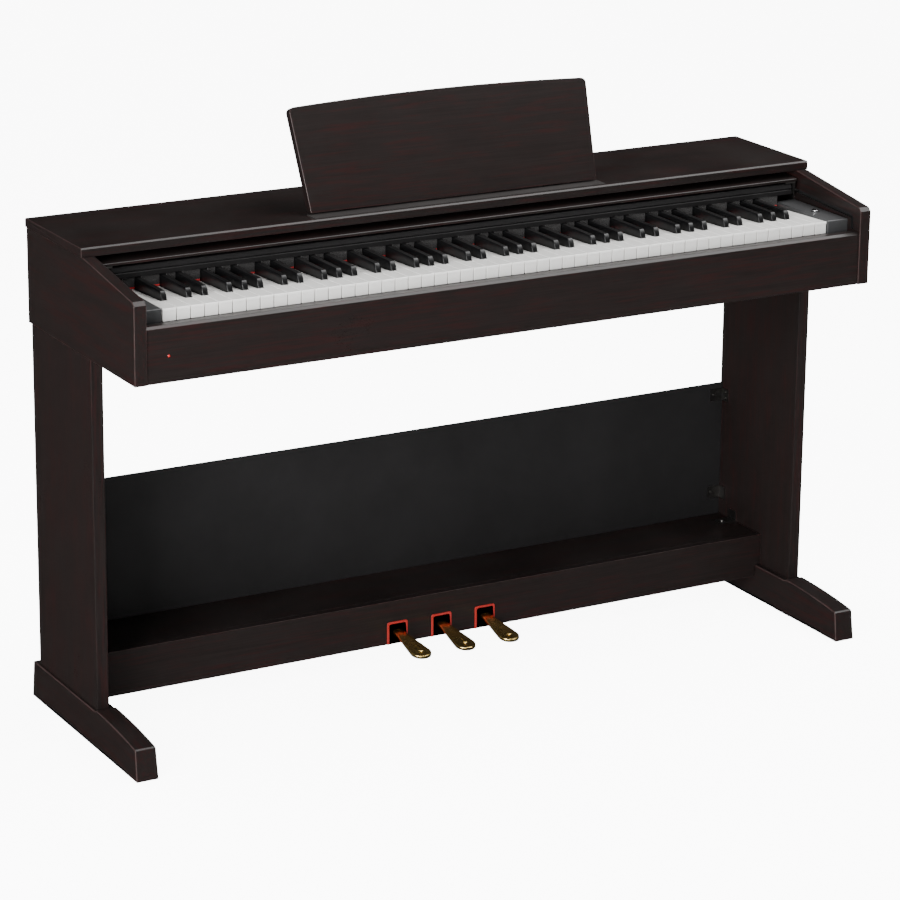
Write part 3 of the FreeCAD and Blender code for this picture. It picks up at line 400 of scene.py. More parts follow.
def shader_group(name, inputs, outputs, build):
    """A shader node group with named sockets. build(tree, inputs) returns the value of each output."""
    tree = bpy.data.node_groups.new(name, "ShaderNodeTree")
    kinds = {"vector": "NodeSocketVector", "value": "NodeSocketFloat", "colour": "NodeSocketColor"}
    for socket, kind, default in inputs:
        made = tree.interface.new_socket(socket, in_out="INPUT", socket_type=kinds[kind])
        if default is not None:
            made.default_value = default
    for socket, kind in outputs:
        tree.interface.new_socket(socket, in_out="OUTPUT", socket_type=kinds[kind])
    source = tree.nodes.new("NodeGroupInput")
    sink = tree.nodes.new("NodeGroupOutput")
    for socket, value in build(tree, source.outputs).items():
        tree.links.new(value, sink.inputs[socket])
    return tree


def build_grain(tree, given):
    """Rosewood figure along X: streaks two or three millimetres across and as long as a finger,
    bunched in faint bands, and short pores."""
    v = given["Vector"]
    wander = stretched_noise(tree, v, (1.2, 5.0, 5.0), 1.0)
    shift = add(tree, "ShaderNodeCombineXYZ", {"Y": maths(tree, "MULTIPLY", wander, 0.010),
                                               "Z": maths(tree, "MULTIPLY", wander, 0.010)}).outputs[0]
    bent = add(tree, "ShaderNodeVectorMath", {0: v, 1: shift}, operation="ADD").outputs[0]
    band = stretched_noise(tree, bent, (3.0, 26.0, 26.0), 2.0)
    streak = stretched_noise(tree, bent, (13.0, 260.0, 260.0), 3.0, 0.5)
    thread = stretched_noise(tree, bent, (8.0, 620.0, 620.0), 3.0, 0.6)
    pore = stretched_noise(tree, bent, (60.0, 1300.0, 1300.0), 2.0)
    pores = ranged(tree, pore, 0.60, 0.72)
    bunched = maths(tree, "ADD", streak, maths(tree, "MULTIPLY", band, 0.30))
    height = maths(tree, "SUBTRACT", maths(tree, "MULTIPLY", thread, 0.4), pores)
    return {"Band": ranged(tree, bunched, 0.67, 0.80), "Figure": ranged(tree, thread, 0.36, 0.64),
            "Pores": pores, "Height": height}


def build_handling(tree, given):
    """Uneven sheen: slow clouds and fine specks that change the roughness a little, and a light
    dust that settles on faces that look up."""
    v = given["Vector"]
    cloud = stretched_noise(tree, v, (7.0, 7.0, 7.0), 3.0)
    speck = stretched_noise(tree, v, (900.0, 900.0, 900.0), 1.0)
    clouds = ranged(tree, cloud, 0.3, 0.7, -0.5, 0.5)
    sheen = maths(tree, "ADD", clouds, ranged(tree, speck, 0.3, 0.7, -0.2, 0.2))
    rough = maths(tree, "ADD", given["Roughness"], maths(tree, "MULTIPLY", sheen, given["Amount"]))
    normal = add(tree, "ShaderNodeNewGeometry").outputs["Normal"]
    up = add(tree, "ShaderNodeSeparateXYZ", {0: normal}).outputs[2]
    dust = maths(tree, "MULTIPLY", ranged(tree, up, 0.6, 1.0), ranged(tree, cloud, 0.35, 0.75))
    return {"Roughness": rough, "Dust": maths(tree, "MULTIPLY", dust, given["Dust"])}


def build_arris(tree, given):
    """Painted highlight on rounded edges: the piece's own arris attribute, broken up by noise."""
    edge = add(tree, "ShaderNodeAttribute", attribute_name="arris", attribute_type="GEOMETRY").outputs["Fac"]
    breakup = ranged(tree, stretched_noise(tree, given["Vector"], (60.0, 60.0, 60.0), 3.0), 0.30, 0.60, 0.45, 1.0)
    return {"Mask": maths(tree, "MULTIPLY", maths(tree, "MULTIPLY", edge, breakup), given["Amount"], True)}


def build_moulded(tree, given):
    """Fine even pebble of moulded plastic."""
    v = given["Vector"]
    pebble = add(tree, "ShaderNodeTexVoronoi", {"Vector": v, "Scale": given["Scale"]}).outputs["Distance"]
    fine = add(tree, "ShaderNodeTexNoise", {"Vector": v, "Scale": given["Scale"], "Detail": 2.0}).outputs[0]
    return {"Height": maths(tree, "ADD", pebble, maths(tree, "MULTIPLY", fine, 0.5)), "Shade": fine}


def build_scratches(tree, given):
    """Fine parallel lines along X, as on drawn or polished metal, and faint stains."""
    v = given["Vector"]
    lines = stretched_noise(tree, v, (14.0, 2600.0, 2600.0), 2.0)
    stains = stretched_noise(tree, v, (55.0, 55.0, 55.0), 3.0)
    return {"Lines": ranged(tree, lines, 0.35, 0.65), "Stains": ranged(tree, stains, 0.40, 0.70)}


GRAIN = shader_group("rosewood_figure", [("Vector", "vector", None)],
                     [("Band", "value"), ("Figure", "value"), ("Pores", "value"), ("Height", "value")],
                     build_grain)
HANDLING = shader_group("handled_sheen", [("Vector", "vector", None), ("Roughness", "value", 0.4),
                                          ("Amount", "value", 0.06), ("Dust", "value", 0.0)],
                        [("Roughness", "value"), ("Dust", "value")], build_handling)
# Painted highlight on the rounded arrises, driven by the arris attribute.
ARRIS = shader_group("painted_arris_highlight", [("Vector", "vector", None), ("Amount", "value", 1.0)],
                     [("Mask", "value")], build_arris)
MOULDED = shader_group("moulded_pebble", [("Vector", "vector", None), ("Scale", "value", 1200.0)],
                       [("Height", "value"), ("Shade", "value")], build_moulded)
SCRATCHES = shader_group("drawn_lines", [("Vector", "vector", None)],
                         [("Lines", "value"), ("Stains", "value")], build_scratches)


def start_material(name, turn=(0.0, 0.0, 0.0), **constants):
    """Material with a Principled shader, whose even values sit on its own sockets, and the object's
    coordinates turned so that the pattern's X runs where it should."""
    material = bpy.data.materials.new(name)
    material.use_nodes = True
    tree = material.node_tree
    shader = tree.nodes["Principled BSDF"]
    for socket, value in constants.items():
        shader.inputs[socket.replace("_", " ")].default_value = value
    coordinates = add(tree, "ShaderNodeTexCoord").outputs["Object"]
    vector = add(tree, "ShaderNodeMapping", {"Vector": coordinates, "Rotation": turn}).outputs[0]
    return material, tree, shader, vector


def use_group(tree, group, **inputs):
    """Outputs of a node group, its inputs given as values or as the sockets that feed them."""
    made = add(tree, "ShaderNodeGroup", node_tree=group)
    for name, value in inputs.items():
        if isinstance(value, bpy.types.NodeSocket):
            tree.links.new(value, made.inputs[name])
        else:
            made.inputs[name].default_value = value
    return made.outputs


def bumped(tree, shader, height, strength, distance):
    """Relief from a height, fed to the shader's normal."""
    bump = add(tree, "ShaderNodeBump", {"Height": height, "Strength": strength, "Distance": distance})
    tree.links.new(bump.outputs[0], shader.inputs["Normal"])


WOOD_DARK = (0.0080, 0.0060, 0.0057, 1)
WOOD_MID = (0.0122, 0.0090, 0.0085, 1)
WOOD_RED = (0.0170, 0.0062, 0.0060, 1)
WOOD_PORE = (0.0058, 0.0043, 0.0041, 1)
# Pale pinkish colour of the painted highlight on rounded arrises.
WOOD_EDGE_HIGHLIGHT = (0.075, 0.045, 0.042, 1)
DUST = (0.30, 0.28, 0.27, 1)
WOOD_GLOSS = 0.24
WOOD_ROUGH = 0.30


def rosewood(name, turn):
    """Dark laminate: near-black brown ground, oxblood streaks, short pores, softly glossy."""
    material, tree, shader, v = start_material(name, turn, Specular_IOR_Level=WOOD_GLOSS)
    grain = use_group(tree, GRAIN, Vector=v)
    ground = mixed(tree, grain["Figure"], WOOD_DARK, WOOD_MID)
    reds = maths(tree, "MULTIPLY", grain["Band"], 0.8)
    streaked = mixed(tree, reds, ground, WOOD_RED)
    pored = mixed(tree, maths(tree, "MULTIPLY", grain["Pores"], 0.2), streaked, WOOD_PORE)
    # Painted highlight: the rounded arrises turn a pale pinkish brown.
    edge = use_group(tree, ARRIS, Vector=v, Amount=0.55)["Mask"]
    arris_lit = mixed(tree, edge, pored, WOOD_EDGE_HIGHLIGHT)
    handled = use_group(tree, HANDLING, Vector=v, Roughness=WOOD_ROUGH, Amount=0.04, Dust=0.02)
    tree.links.new(mixed(tree, handled["Dust"], arris_lit, DUST), shader.inputs["Base Color"])
    rough = maths(tree, "ADD", handled["Roughness"], maths(tree, "MULTIPLY", grain["Pores"], 0.06), True)
    tree.links.new(rough, shader.inputs["Roughness"])
    bumped(tree, shader, grain["Height"], 0.12, 0.00006)
    return material


def plastic(name, colour, light, rough, scale=1300.0, depth=0.00006, gloss=0.4, **constants):
    """Moulded plastic: pebble bump, slightly uneven colour and sheen, and a painted highlight that makes the
    arrises paler.
    """
    material, tree, shader, v = start_material(name, Specular_IOR_Level=gloss, **constants)
    pebble = use_group(tree, MOULDED, Vector=v, Scale=scale)
    body = mixed(tree, pebble["Shade"], colour, light)
    # Painted highlight: the arrises turn paler.
    edge = use_group(tree, ARRIS, Vector=v, Amount=0.35)["Mask"]
    handled = use_group(tree, HANDLING, Vector=v, Roughness=rough, Amount=0.08, Dust=0.03)
    edge_lit_colour = mixed(tree, edge, body, tuple(min(1.0, 2.2 * c + 0.01) for c in light[:3]) + (1,))
    tree.links.new(mixed(tree, handled["Dust"], edge_lit_colour, DUST), shader.inputs["Base Color"])
    tree.links.new(handled["Roughness"], shader.inputs["Roughness"])
    if depth:
        bumped(tree, shader, pebble["Height"], 0.5, depth)
    return material


def metal(name, colour, stain, rough, turn=(0.0, 0.0, 0.0)):
    """Metal with fine drawn lines and faint stains."""
    material, tree, shader, v = start_material(name, turn, Metallic=1.0)
    marks = use_group(tree, SCRATCHES, Vector=v)
    tree.links.new(mixed(tree, maths(tree, "MULTIPLY", marks["Stains"], 0.35), colour, stain),
                   shader.inputs["Base Color"])
    handled = use_group(tree, HANDLING, Vector=v, Roughness=rough, Amount=0.10)
    rougher = maths(tree, "ADD", handled["Roughness"], maths(tree, "MULTIPLY", marks["Lines"], 0.06))
    tree.links.new(rougher, shader.inputs["Roughness"])
    bumped(tree, shader, marks["Lines"], 0.08, 0.00003)
    return material


def fibre_board(name, colour, light):
    """Matt painted fibreboard with a short felted fibre."""
    material, tree, shader, v = start_material(name, Specular_IOR_Level=0.22)
    fibre = stretched_noise(tree, v, (240.0, 700.0, 700.0), 3.0)
    cloud = stretched_noise(tree, v, (9.0, 9.0, 9.0), 4.0)
    shade = maths(tree, "ADD", maths(tree, "MULTIPLY", fibre, 0.6), maths(tree, "MULTIPLY", cloud, 0.4))
    tree.links.new(mixed(tree, ranged(tree, shade, 0.35, 0.65), colour, light), shader.inputs["Base Color"])
    tree.links.new(ranged(tree, fibre, 0.3, 0.7, 0.62, 0.78), shader.inputs["Roughness"])
    bumped(tree, shader, fibre, 0.35, 0.0002)
    return material


def felt(name, colour, light, shade, height):
    """Pressed wool: soft sheen, tangled short fibres. Above a height it takes the dark shade colour: a
    painted shadow under the name board.
    """
    material, tree, shader, v = start_material(name, Sheen_Weight=0.5, Specular_IOR_Level=0.1, Roughness=0.95)
    tangle = stretched_noise(tree, v, (1500.0, 1500.0, 2300.0), 4.0, 0.7, 1.5)
    level = add(tree, "ShaderNodeSeparateXYZ", {0: v}).outputs[2]
    # Painted shadow: above the height the felt takes the dark shade colour.
    above = ranged(tree, level, height, height + 0.0006)
    shadowed = mixed(tree, above, mixed(tree, ranged(tree, tangle, 0.3, 0.7), colour, light), shade)
    tree.links.new(shadowed, shader.inputs["Base Color"])
    bumped(tree, shader, tangle, 0.9, 0.0004)
    return material


def circuit_green(name):
    """Solder mask with copper tracks that show through in a blocky pattern."""
    material, tree, shader, v = start_material(name, Specular_IOR_Level=0.5, Roughness=0.35)
    track = add(tree, "ShaderNodeTexVoronoi", {"Vector": v, "Scale": 220.0}, distance="CHEBYCHEV").outputs[0]
    tree.links.new(mixed(tree, ranged(tree, track, 0.25, 0.30), (0.004, 0.045, 0.014, 1),
                         (0.012, 0.11, 0.035, 1)), shader.inputs["Base Color"])
    bumped(tree, shader, track, 0.2, 0.0001)
    return material


QUARTER = math.pi / 2
WOOD_X = rosewood("rosewood_across", (0.0, 0.0, 0.0))
WOOD_Y = rosewood("rosewood_front_to_back", (0.0, 0.0, QUARTER))
WOOD_UP = rosewood("rosewood_upright", (0.0, QUARTER, 0.0))
CHARCOAL = fibre_board("charcoal_board", (0.0062, 0.0058, 0.0060, 1), (0.0108, 0.0102, 0.0106, 1))
PANEL_BLACK = plastic("panel_satin_black", (0.0058, 0.0055, 0.0056, 1), (0.0080, 0.0076, 0.0078, 1), 0.40,
                      900.0, 0.00003, 0.22)
GREY = plastic("end_block_grey", (0.034, 0.034, 0.035, 1), (0.042, 0.043, 0.044, 1), 0.46, 1100.0, 0.00009)
LEDGE_GREY = plastic("ledge_rubber", (0.017, 0.015, 0.0145, 1), (0.026, 0.023, 0.022, 1), 0.62, 700.0,
                     0.00010, 0.2)
BLACK = plastic("moulded_black", (0.0070, 0.0070, 0.0072, 1), (0.0105, 0.0105, 0.0110, 1), 0.44, 1300.0)
WHITE_KEY = plastic("key_white", (0.80, 0.79, 0.765, 1), (0.84, 0.83, 0.805, 1), 0.22, 300.0, 0.0, 0.5,
                    Coat_Weight=0.4, Coat_Roughness=0.12)
BLACK_KEY = plastic("key_black", (0.0028, 0.0028, 0.0030, 1), (0.0045, 0.0045, 0.0048, 1), 0.34, 1500.0,
                    0.00004, 0.30)
RED_PLASTIC = plastic("slot_lining_red", (0.22, 0.010, 0.008, 1), (0.30, 0.014, 0.010, 1), 0.34, 1100.0,
                      0.00004)
RED_LENS = plastic("lamp_red", (0.45, 0.012, 0.010, 1), (0.60, 0.020, 0.015, 1), 0.12, 500.0, 0.0, 0.6,
                   Coat_Weight=1.0, Coat_Roughness=0.05)
STEEL = metal("zinc_steel", (0.15, 0.145, 0.14, 1), (0.10, 0.10, 0.095, 1), 0.34)
BLACK_STEEL = metal("blackened_steel", (0.055, 0.055, 0.056, 1), (0.030, 0.030, 0.030, 1), 0.42)
CHROME = metal("bright_chrome", (0.78, 0.78, 0.79, 1), (0.60, 0.60, 0.61, 1), 0.12)
BRASS = metal("polished_brass", (0.95, 0.68, 0.24, 1), (0.74, 0.47, 0.13, 1), 0.20, (0.0, 0.0, QUARTER))
FELT = felt("red_felt", (0.42, 0.012, 0.014, 1), (0.62, 0.022, 0.024, 1), (0.006, 0.005, 0.005, 1),
            FELT_SHADOW_LINE)
RUBBER = plastic("black_rubber", (0.010, 0.010, 0.010, 1), (0.016, 0.016, 0.016, 1), 0.72, 900.0,
                 0.0001, 0.25)
GREEN = circuit_green("circuit_green")


def finish_nodes(material, *nodes):
    """A CAD node whose shape is right keeps it and takes the finish."""
    for name in nodes:
        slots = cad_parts[name].data.materials
        slots.clear()
        slots.append(material)


def pair(name, shells, body, slot, materials, *nodes):
    """A left piece and its mirror image; the nodes are given left then right."""
    piece(name + "_left", shells, body, slot, materials, *nodes[:1])
    piece(name + "_right", [mirrored(m) for m in shells], body, slot, materials, *nodes[1:])


# ---- case -----------------------------------------------------------------------------------

def case_boards():
    """Top board, cheeks with their guide groove, key slip, and the board behind the keys."""
    x0, x1, rear, front, low, top = span("top_board")
    bevel = 2.6
    outline = yz([(rear, low), (front, low), (front, top - bevel), (front - bevel, top), (rear + bevel, top),
                  (rear, top - bevel)])
    piece("top_board_panel", [board(outline, [0.6, 0.6, 1.0, 1.0, 1.0, 1.0], x0, x1, 1.0)], "case",
          "rosewood", WOOD_X, "top_board")

    x0, x1, rear, front, low, high = span("left_side_panel")
    bevel = 6.5
    nose = 774.0
    outline, normals = fillets(yz([(rear, low), (front, low), (front, nose - bevel), (front - bevel, nose),
                                   (235.0, high), (rear, high)]), [1.6, 1.6, 2.2, 2.2, 1.6, 1.6], 5)
    groove = fillets(yz(groove_outline()), [0.8, 2.0, 1.2, 1.2, 4.0, 9.0, 0.8], 6)
    cheek = pierced(outline, normals, x0, x1, 1.5, [groove], "x", 5.0)
    pair("cheek", [cheek], "case", "rosewood", [WOOD_Y, BLACK], "left_side_panel", "right_side_panel")

    x0, x1, rear, front, low, top = span("key_slip")
    outline = yz([(rear, low), (front, low), (front, top - 4.0), (front - 5.0, top), (rear, top)])
    piece("key_slip_board", [board(outline, [0.5, 1.2, 1.6, 1.6, 1.0], x0, x1, 0.2)], "case",
          "rosewood", WOOD_X, "key_slip")

    x0, x1, rear, front, low, top = span("fallboard")
    middle = (low + top) / 2
    outline = yz([(rear, low), (front, low), (front - 1.0, middle - 1.1), (front - 3.0, middle - 0.8),
                  (front - 3.0, middle + 0.8), (front - 1.2, middle + 1.1), (front - 4.5, top), (rear, top)])
    piece("name_board", [board(outline, [0.5, 1.2, 0.9, 0.5, 0.5, 0.9, 1.4, 0.5], x0, x1, 0.4)], "case",
          "black_satin", PANEL_BLACK, "fallboard")


def groove_outline():
    """(depth, height) corners of the cover's guide groove, which drops at its open end."""
    half = 3.6

    def height(depth):
        """Middle height of the groove's straight run."""
        return 766.0 - COVER_FALL * (depth - 233.0)

    return [(222.0, height(222.0) - half), (396.0, height(396.0) - half), (397.5, 734.0), (404.7, 734.0),
            (403.0, height(396.0) - 2.0), (398.0, height(396.0) + half), (222.0, height(222.0) + half)]


def slot_outline(x0, x1, v0, v1, radius=1.0, steps=4):
    """Rounded slot across Y, from x0 to x1 and from height v0 to v1."""
    return fillets([(v0, x0), (v1, x0), (v1, x1), (v0, x1)], radius, steps)


def rear_and_bed():
    """Rear panel with vent slots and the connector opening, and the key bed with its speaker openings."""
    x0, x1, rear, front, low, top = span("rear_panel")
    outline, normals = fillets([(low, x0), (low, x1), (top, x1), (top, x0)], 0.5, 2)
    vents = [slot_outline(180.0 + 22.0 * k, 185.0 + 22.0 * k, 662.0, 704.0, 2.4, 5) for k in range(12)]
    opening = slot_outline(-560.0, -470.0, 668.0, 700.0, 1.5)
    panel = pierced(outline, normals, REAR_Y / MM - front, REAR_Y / MM - rear, 0.4, vents + [opening], "y")
    piece("rear_panel_board", [panel], "case", "black_board", CHARCOAL, "rear_panel")

    x0, x1, rear, front, low, top = span("key_bed")
    ys = REAR_Y / MM
    outline, normals = fillets([(x0, ys - front), (x1, ys - front), (x1, ys - rear), (x0, ys - rear)], 0.6, 2)
    holes = [fillets([(x - 60, ys - 135), (x + 60, ys - 135), (x + 60, ys - 65), (x - 60, ys - 65)], 6.0, 5)
             for x in (-SPEAKER_X, SPEAKER_X)]
    bed = pierced(outline, normals, low, top, 0.5, holes, "z")
    piece("key_bed_board", [bed], "case", "black_board", CHARCOAL, "key_bed")

    x0, x1, rear, front, low, top = span("speaker_grilles")
    for name, x in (("left", -SPEAKER_X), ("right", SPEAKER_X)):
        outline, normals = fillets([(x - 72, ys - front), (x + 72, ys - front), (x + 72, ys - rear),
                                    (x - 72, ys - rear)], 5.0, 6)
        slots = [fillets([(x - 54, ys - 73.5 - 7 * k), (x + 54, ys - 73.5 - 7 * k), (x + 54, ys - 70 - 7 * k),
                          (x - 54, ys - 70 - 7 * k)], 1.7, 4) for k in range(9)]
        grille = pierced(outline, normals, low, top, (0.8, 0.2), slots, "z")
        piece("speaker_cover_" + name, [grille], "case", "speaker_black", BLACK,
              *(("speaker_grilles",) if name == "left" else ()))


def end_blocks():
    """Moulded blocks beside the keys, the right one with the power button's hole, the left one with
    the voice button's hole and the slot of the volume slider."""
    x0, x1, rear, front, low, top = span("left_end_block")
    ys = REAR_Y / MM
    outline, normals = fillets([(x0, ys - front), (x1, ys - front), (x1, ys - rear), (x0, ys - rear)],
                               [0.8, 2.6, 0.6, 0.6], 6)
    voice = circle(BUTTON_HOLE, 32, (-BUTTON_X, ys - VOICE_DEPTH))
    track = fillets([(-634.6, ys - 313.0), (-631.4, ys - 313.0), (-631.4, ys - 267.0), (-634.6, ys - 267.0)],
                    1.5, 5)
    left = pierced(outline, normals, low, top, (0.5, 2.2), [voice, track], "z", 5.0, 5)
    piece("end_block_low", [left], "case", "grey_plastic", [GREY, BLACK], "left_end_block")
    power = circle(BUTTON_HOLE, 32, (-BUTTON_X, ys - POWER_DEPTH))
    right = mirrored(pierced(outline, normals, low, top, (0.5, 2.2), [power], "z", 5.0, 5))
    piece("end_block_high", [right], "case", "grey_plastic", [GREY, BLACK], "right_end_block")
    ring_profile, _ = fillets([(6.4, -0.3), (7.4, -0.3), (7.4, 0.35), (6.4, 0.35)], 0.3, 3)
    rings = [ring_around(ring_profile, "z", (x, ys - depth, top))
             for x, depth in ((-BUTTON_X, VOICE_DEPTH), (BUTTON_X, POWER_DEPTH))]
    piece("button_surrounds", rings, "case", "black_plastic", BLACK)


def button_shell(x, depth, top):
    """Push button: a round cap with a soft rim and a shallow dish."""
    t = np.linspace(0, QUARTER, 5)
    rim = np.stack([5.2 + 0.75 * np.cos(t), 2.65 + 0.75 * np.sin(t)], 1)
    s = np.linspace(1.0, 0.04, 8)
    dish = np.stack([5.2 * s, 3.4 - 0.45 * (1 - s ** 2)], 1)[1:]
    profile = np.concatenate([[[4.6, -5.0], [5.95, -5.0], [5.95, 0.0]], rim, dish])
    return turned(profile, "z", (x, REAR_Y / MM - depth, top))


def controls():
    """Caps of the two buttons and the volume slider, and the lens of the power lamp."""
    top = span("left_end_block")[5]
    for node, x, depth in (("power_button", BUTTON_X, POWER_DEPTH), ("voice_button", -BUTTON_X, VOICE_DEPTH)):
        piece(node + "_cap", [button_shell(x, depth, top)], node, "chrome_button", CHROME, node)
    cap = yz([(272.0, top + 0.5), (282.0, top + 0.5), (280.4, top + 5.0), (278.0, top + 3.7),
              (276.0, top + 3.7), (273.6, top + 5.0)])
    shells = [board(cap, [0.6, 0.6, 0.7, 1.5, 1.5, 0.7], -637.0, -629.0, 0.5),
              board(yz([(275.0, top - 8.0), (279.0, top - 8.0), (279.0, top + 1.0), (275.0, top + 1.0)]), 0.3,
                    -634.1, -631.9, 0.2)]
    piece("volume_slider_cap", shells, "volume_slider", "black_plastic", BLACK, "volume_slider")
    x0, x1, _, front, low, high = span("power_lamp")
    x, z = (x0 + x1) / 2, (low + high) / 2
    t = np.linspace(0, QUARTER, 6)
    dome = np.stack([1.9 * np.cos(t) + 0.04, 0.45 * np.sin(t)], 1)
    lens = turned(np.concatenate([[[1.95, -9.0], [1.95, -0.1]], dome]), "y", (z, -x, 0.0), 24)
    about = Matrix.Rotation(math.pi, 4, "Z")
    about.translation = (0.0, at(front - 0.45), 0.0)
    piece("lamp_lens", [moved(lens, about)], "case", "red_lens", RED_LENS, "power_lamp")


# ---- keyboard -------------------------------------------------------------------------------

PITCH = 23.5
KEYS = 52
SHARP_SHIFT = {0: -1.9, 1: 1.9, 3: -2.8, 4: 0.0, 5: 2.8}
SHARP_HALF = 5.8
KEY_FALL = 0.044


def sharp_middle(index):
    """X of the sharp to the right of a natural, or None; the lowest natural is an A."""
    step = (index + 5) % 7
    if step not in SHARP_SHIFT or not 0 <= index < KEYS - 1:
        return None
    return (index + 1 - KEYS / 2) * PITCH + SHARP_SHIFT[step]


def key_stem(x0, x1, top, high):
    """Hidden rear of a key, with the open slot that snaps over the pivot bar."""
    return board(yz([(172.0, top - 17.0), (238.0, top - 17.0), (238.0, high), (172.0, high),
                     (172.0, 737.25), (182.25, 737.25), (182.25, 732.75), (172.0, 732.75)]),
                 0.25, x0, x1, 0.2, "x", 1, 1)


def natural_shells(index, top):
    """Natural: a cap with rounded upper arrises, wide at the front and cut back beside the sharps,
    a body set back under its lip, and the hidden stem. Cap and body are sheared so that they fall
    away from the front edge in proportion to the distance behind it."""
    ys = REAR_Y / MM
    left = (index - KEYS / 2) * PITCH + 0.5
    right = left + PITCH - 1.0
    before, after = sharp_middle(index - 1), sharp_middle(index)
    tail_left = left if before is None else before + SHARP_HALF + 1.0
    tail_right = right if after is None else after - SHARP_HALF - 1.0
    front, head, rear = ys - 388.0, ys - 337.0, ys - 229.0
    corners, radii = [(left, front), (right, front)], [1.1, 1.1]
    for x, edge in ((tail_right, right), (tail_left, left)):
        inner = [(edge, head), (x, head), (x, rear)] if abs(x - edge) > 0.01 else [(edge, rear)]
        bends = [0.9, 1.0, 0.5] if len(inner) == 3 else [0.5]
        if edge is left:
            inner, bends = inner[::-1], bends[::-1]
        corners += inner
        radii += bends
    cap = board(corners, radii, top - 4.2, top, (0.4, 0.8), "z", 4)
    apron = board([(left + 0.4, front + 0.9), (right - 0.4, front + 0.9), (right - 0.4, front + 27.0),
                   (left + 0.4, front + 27.0)], 0.5, top - 20.5, top - 4.0, (0.5, 0.1), "z", 2)
    body = board([(tail_left + 0.3, front + 20.0), (tail_right - 0.3, front + 20.0), (tail_right - 0.3, rear),
                  (tail_left + 0.3, rear)], 0.4, top - 10.0, top - 4.0, 0.2, "z", 1, 2)
    for made in (cap, body):
        made["points"][:, 2] -= KEY_FALL * (made["points"][:, 1] - front * MM)
        made["normals"][:, 1] += KEY_FALL * made["normals"][:, 2]
    return [cap, apron, body, key_stem(tail_left + 0.2, tail_right - 0.2, top, top - 7.2)]


def sharp_shells(index, top):
    """Sharp: rounded trapezoid sections along its length, which dip over a sloping nose. With f from
    0 at the nose's foot to 1 on top, the top follows a quarter superellipse of the distance back."""
    x = sharp_middle(index)
    high = 11.5
    base = top - 7.5
    section, _ = fillets([(-1.0, 0.0), (1.0, 0.0), (0.84, 1.0), (-0.84, 1.0)], [0.05, 0.05, 0.26, 0.26], 5)
    back = np.array([0.0, 0.25, 0.7, 1.3, 2.1, 3.0, 4.0, 5.0, 6.0, 7.2, 9.0, 14.0, 40.0, 106.0])
    f = np.clip(back / 7.2, 0, 1)
    rise = 1.0 + (high - 1.0) * (1 - (1 - f) ** 1.7) ** 0.95
    wide = SHARP_HALF - 0.9 * (1 - np.clip(back / 2.6, 0, 1)) ** 2
    tall = rise + (top - base)
    grid = np.empty((len(back), len(section), 3))
    grid[:, :, 0] = x + section[None, :, 0] * wide[:, None]
    grid[:, :, 1] = (REAR_Y / MM - 335.0 + back)[:, None]
    grid[:, :, 2] = base + section[None, :, 1] * tall[:, None]
    ys = REAR_Y / MM
    body = board([(x - 5.0, ys - 334.0), (x + 5.0, ys - 334.0), (x + 5.0, ys - 229.0), (x - 5.0, ys - 229.0)],
                 0.4, top - 17.0, base + 0.5, 0.2, "z", 1, 2)
    return [lofted(grid), body, key_stem(x - 5.0, x + 5.0, top, top - 0.4)]


def keys():
    """All 88 keys: each is its own closed shells, grouped as the bodies are."""
    top = span("key_c4")[5]
    first = 23
    for k, letter in enumerate("cdefgab"):
        name = f"key_{letter}4"
        piece("natural_" + letter + "4", natural_shells(first + k, top), name, "white_key", WHITE_KEY, name)
        if sharp_middle(first + k) is not None:
            name = f"key_{letter}_sharp4"
            piece("sharp_" + letter + "4", sharp_shells(first + k, top), name, "black_key", BLACK_KEY, name)
    for side, indices in (("low", range(first)), ("high", range(first + 7, KEYS))):
        shells = [m for i in indices for m in natural_shells(i, top)]
        node = f"keys_{side}_naturals"
        piece("naturals_" + side, shells, node, "white_key", WHITE_KEY, node)
        shells = [m for i in indices if sharp_middle(i) is not None for m in sharp_shells(i, top)]
        node = f"keys_{side}_sharps"
        piece("sharps_" + side, shells, node, "black_key", BLACK_KEY, node)


# ---- cover and music rest -------------------------------------------------------------------

def key_cover():
    """Sliding cover: a thin board with a rounded front arris."""
    x0, x1, rear, front = span("key_cover")[:4]
    thick = 5.0
    front_top = 788.0

    def height(depth):
        """Height of the board's upper face."""
        return front_top - COVER_FALL * (depth - front)

    outline = yz([(rear, height(rear) - thick), (front, height(front) - thick), (front, height(front)),
                  (rear, height(rear))])
    piece("cover_board", [board(outline, [0.5, 1.0, 2.2, 0.5], x0, x1, 0.5)], "cover", "rosewood", WOOD_X,
          "key_cover")


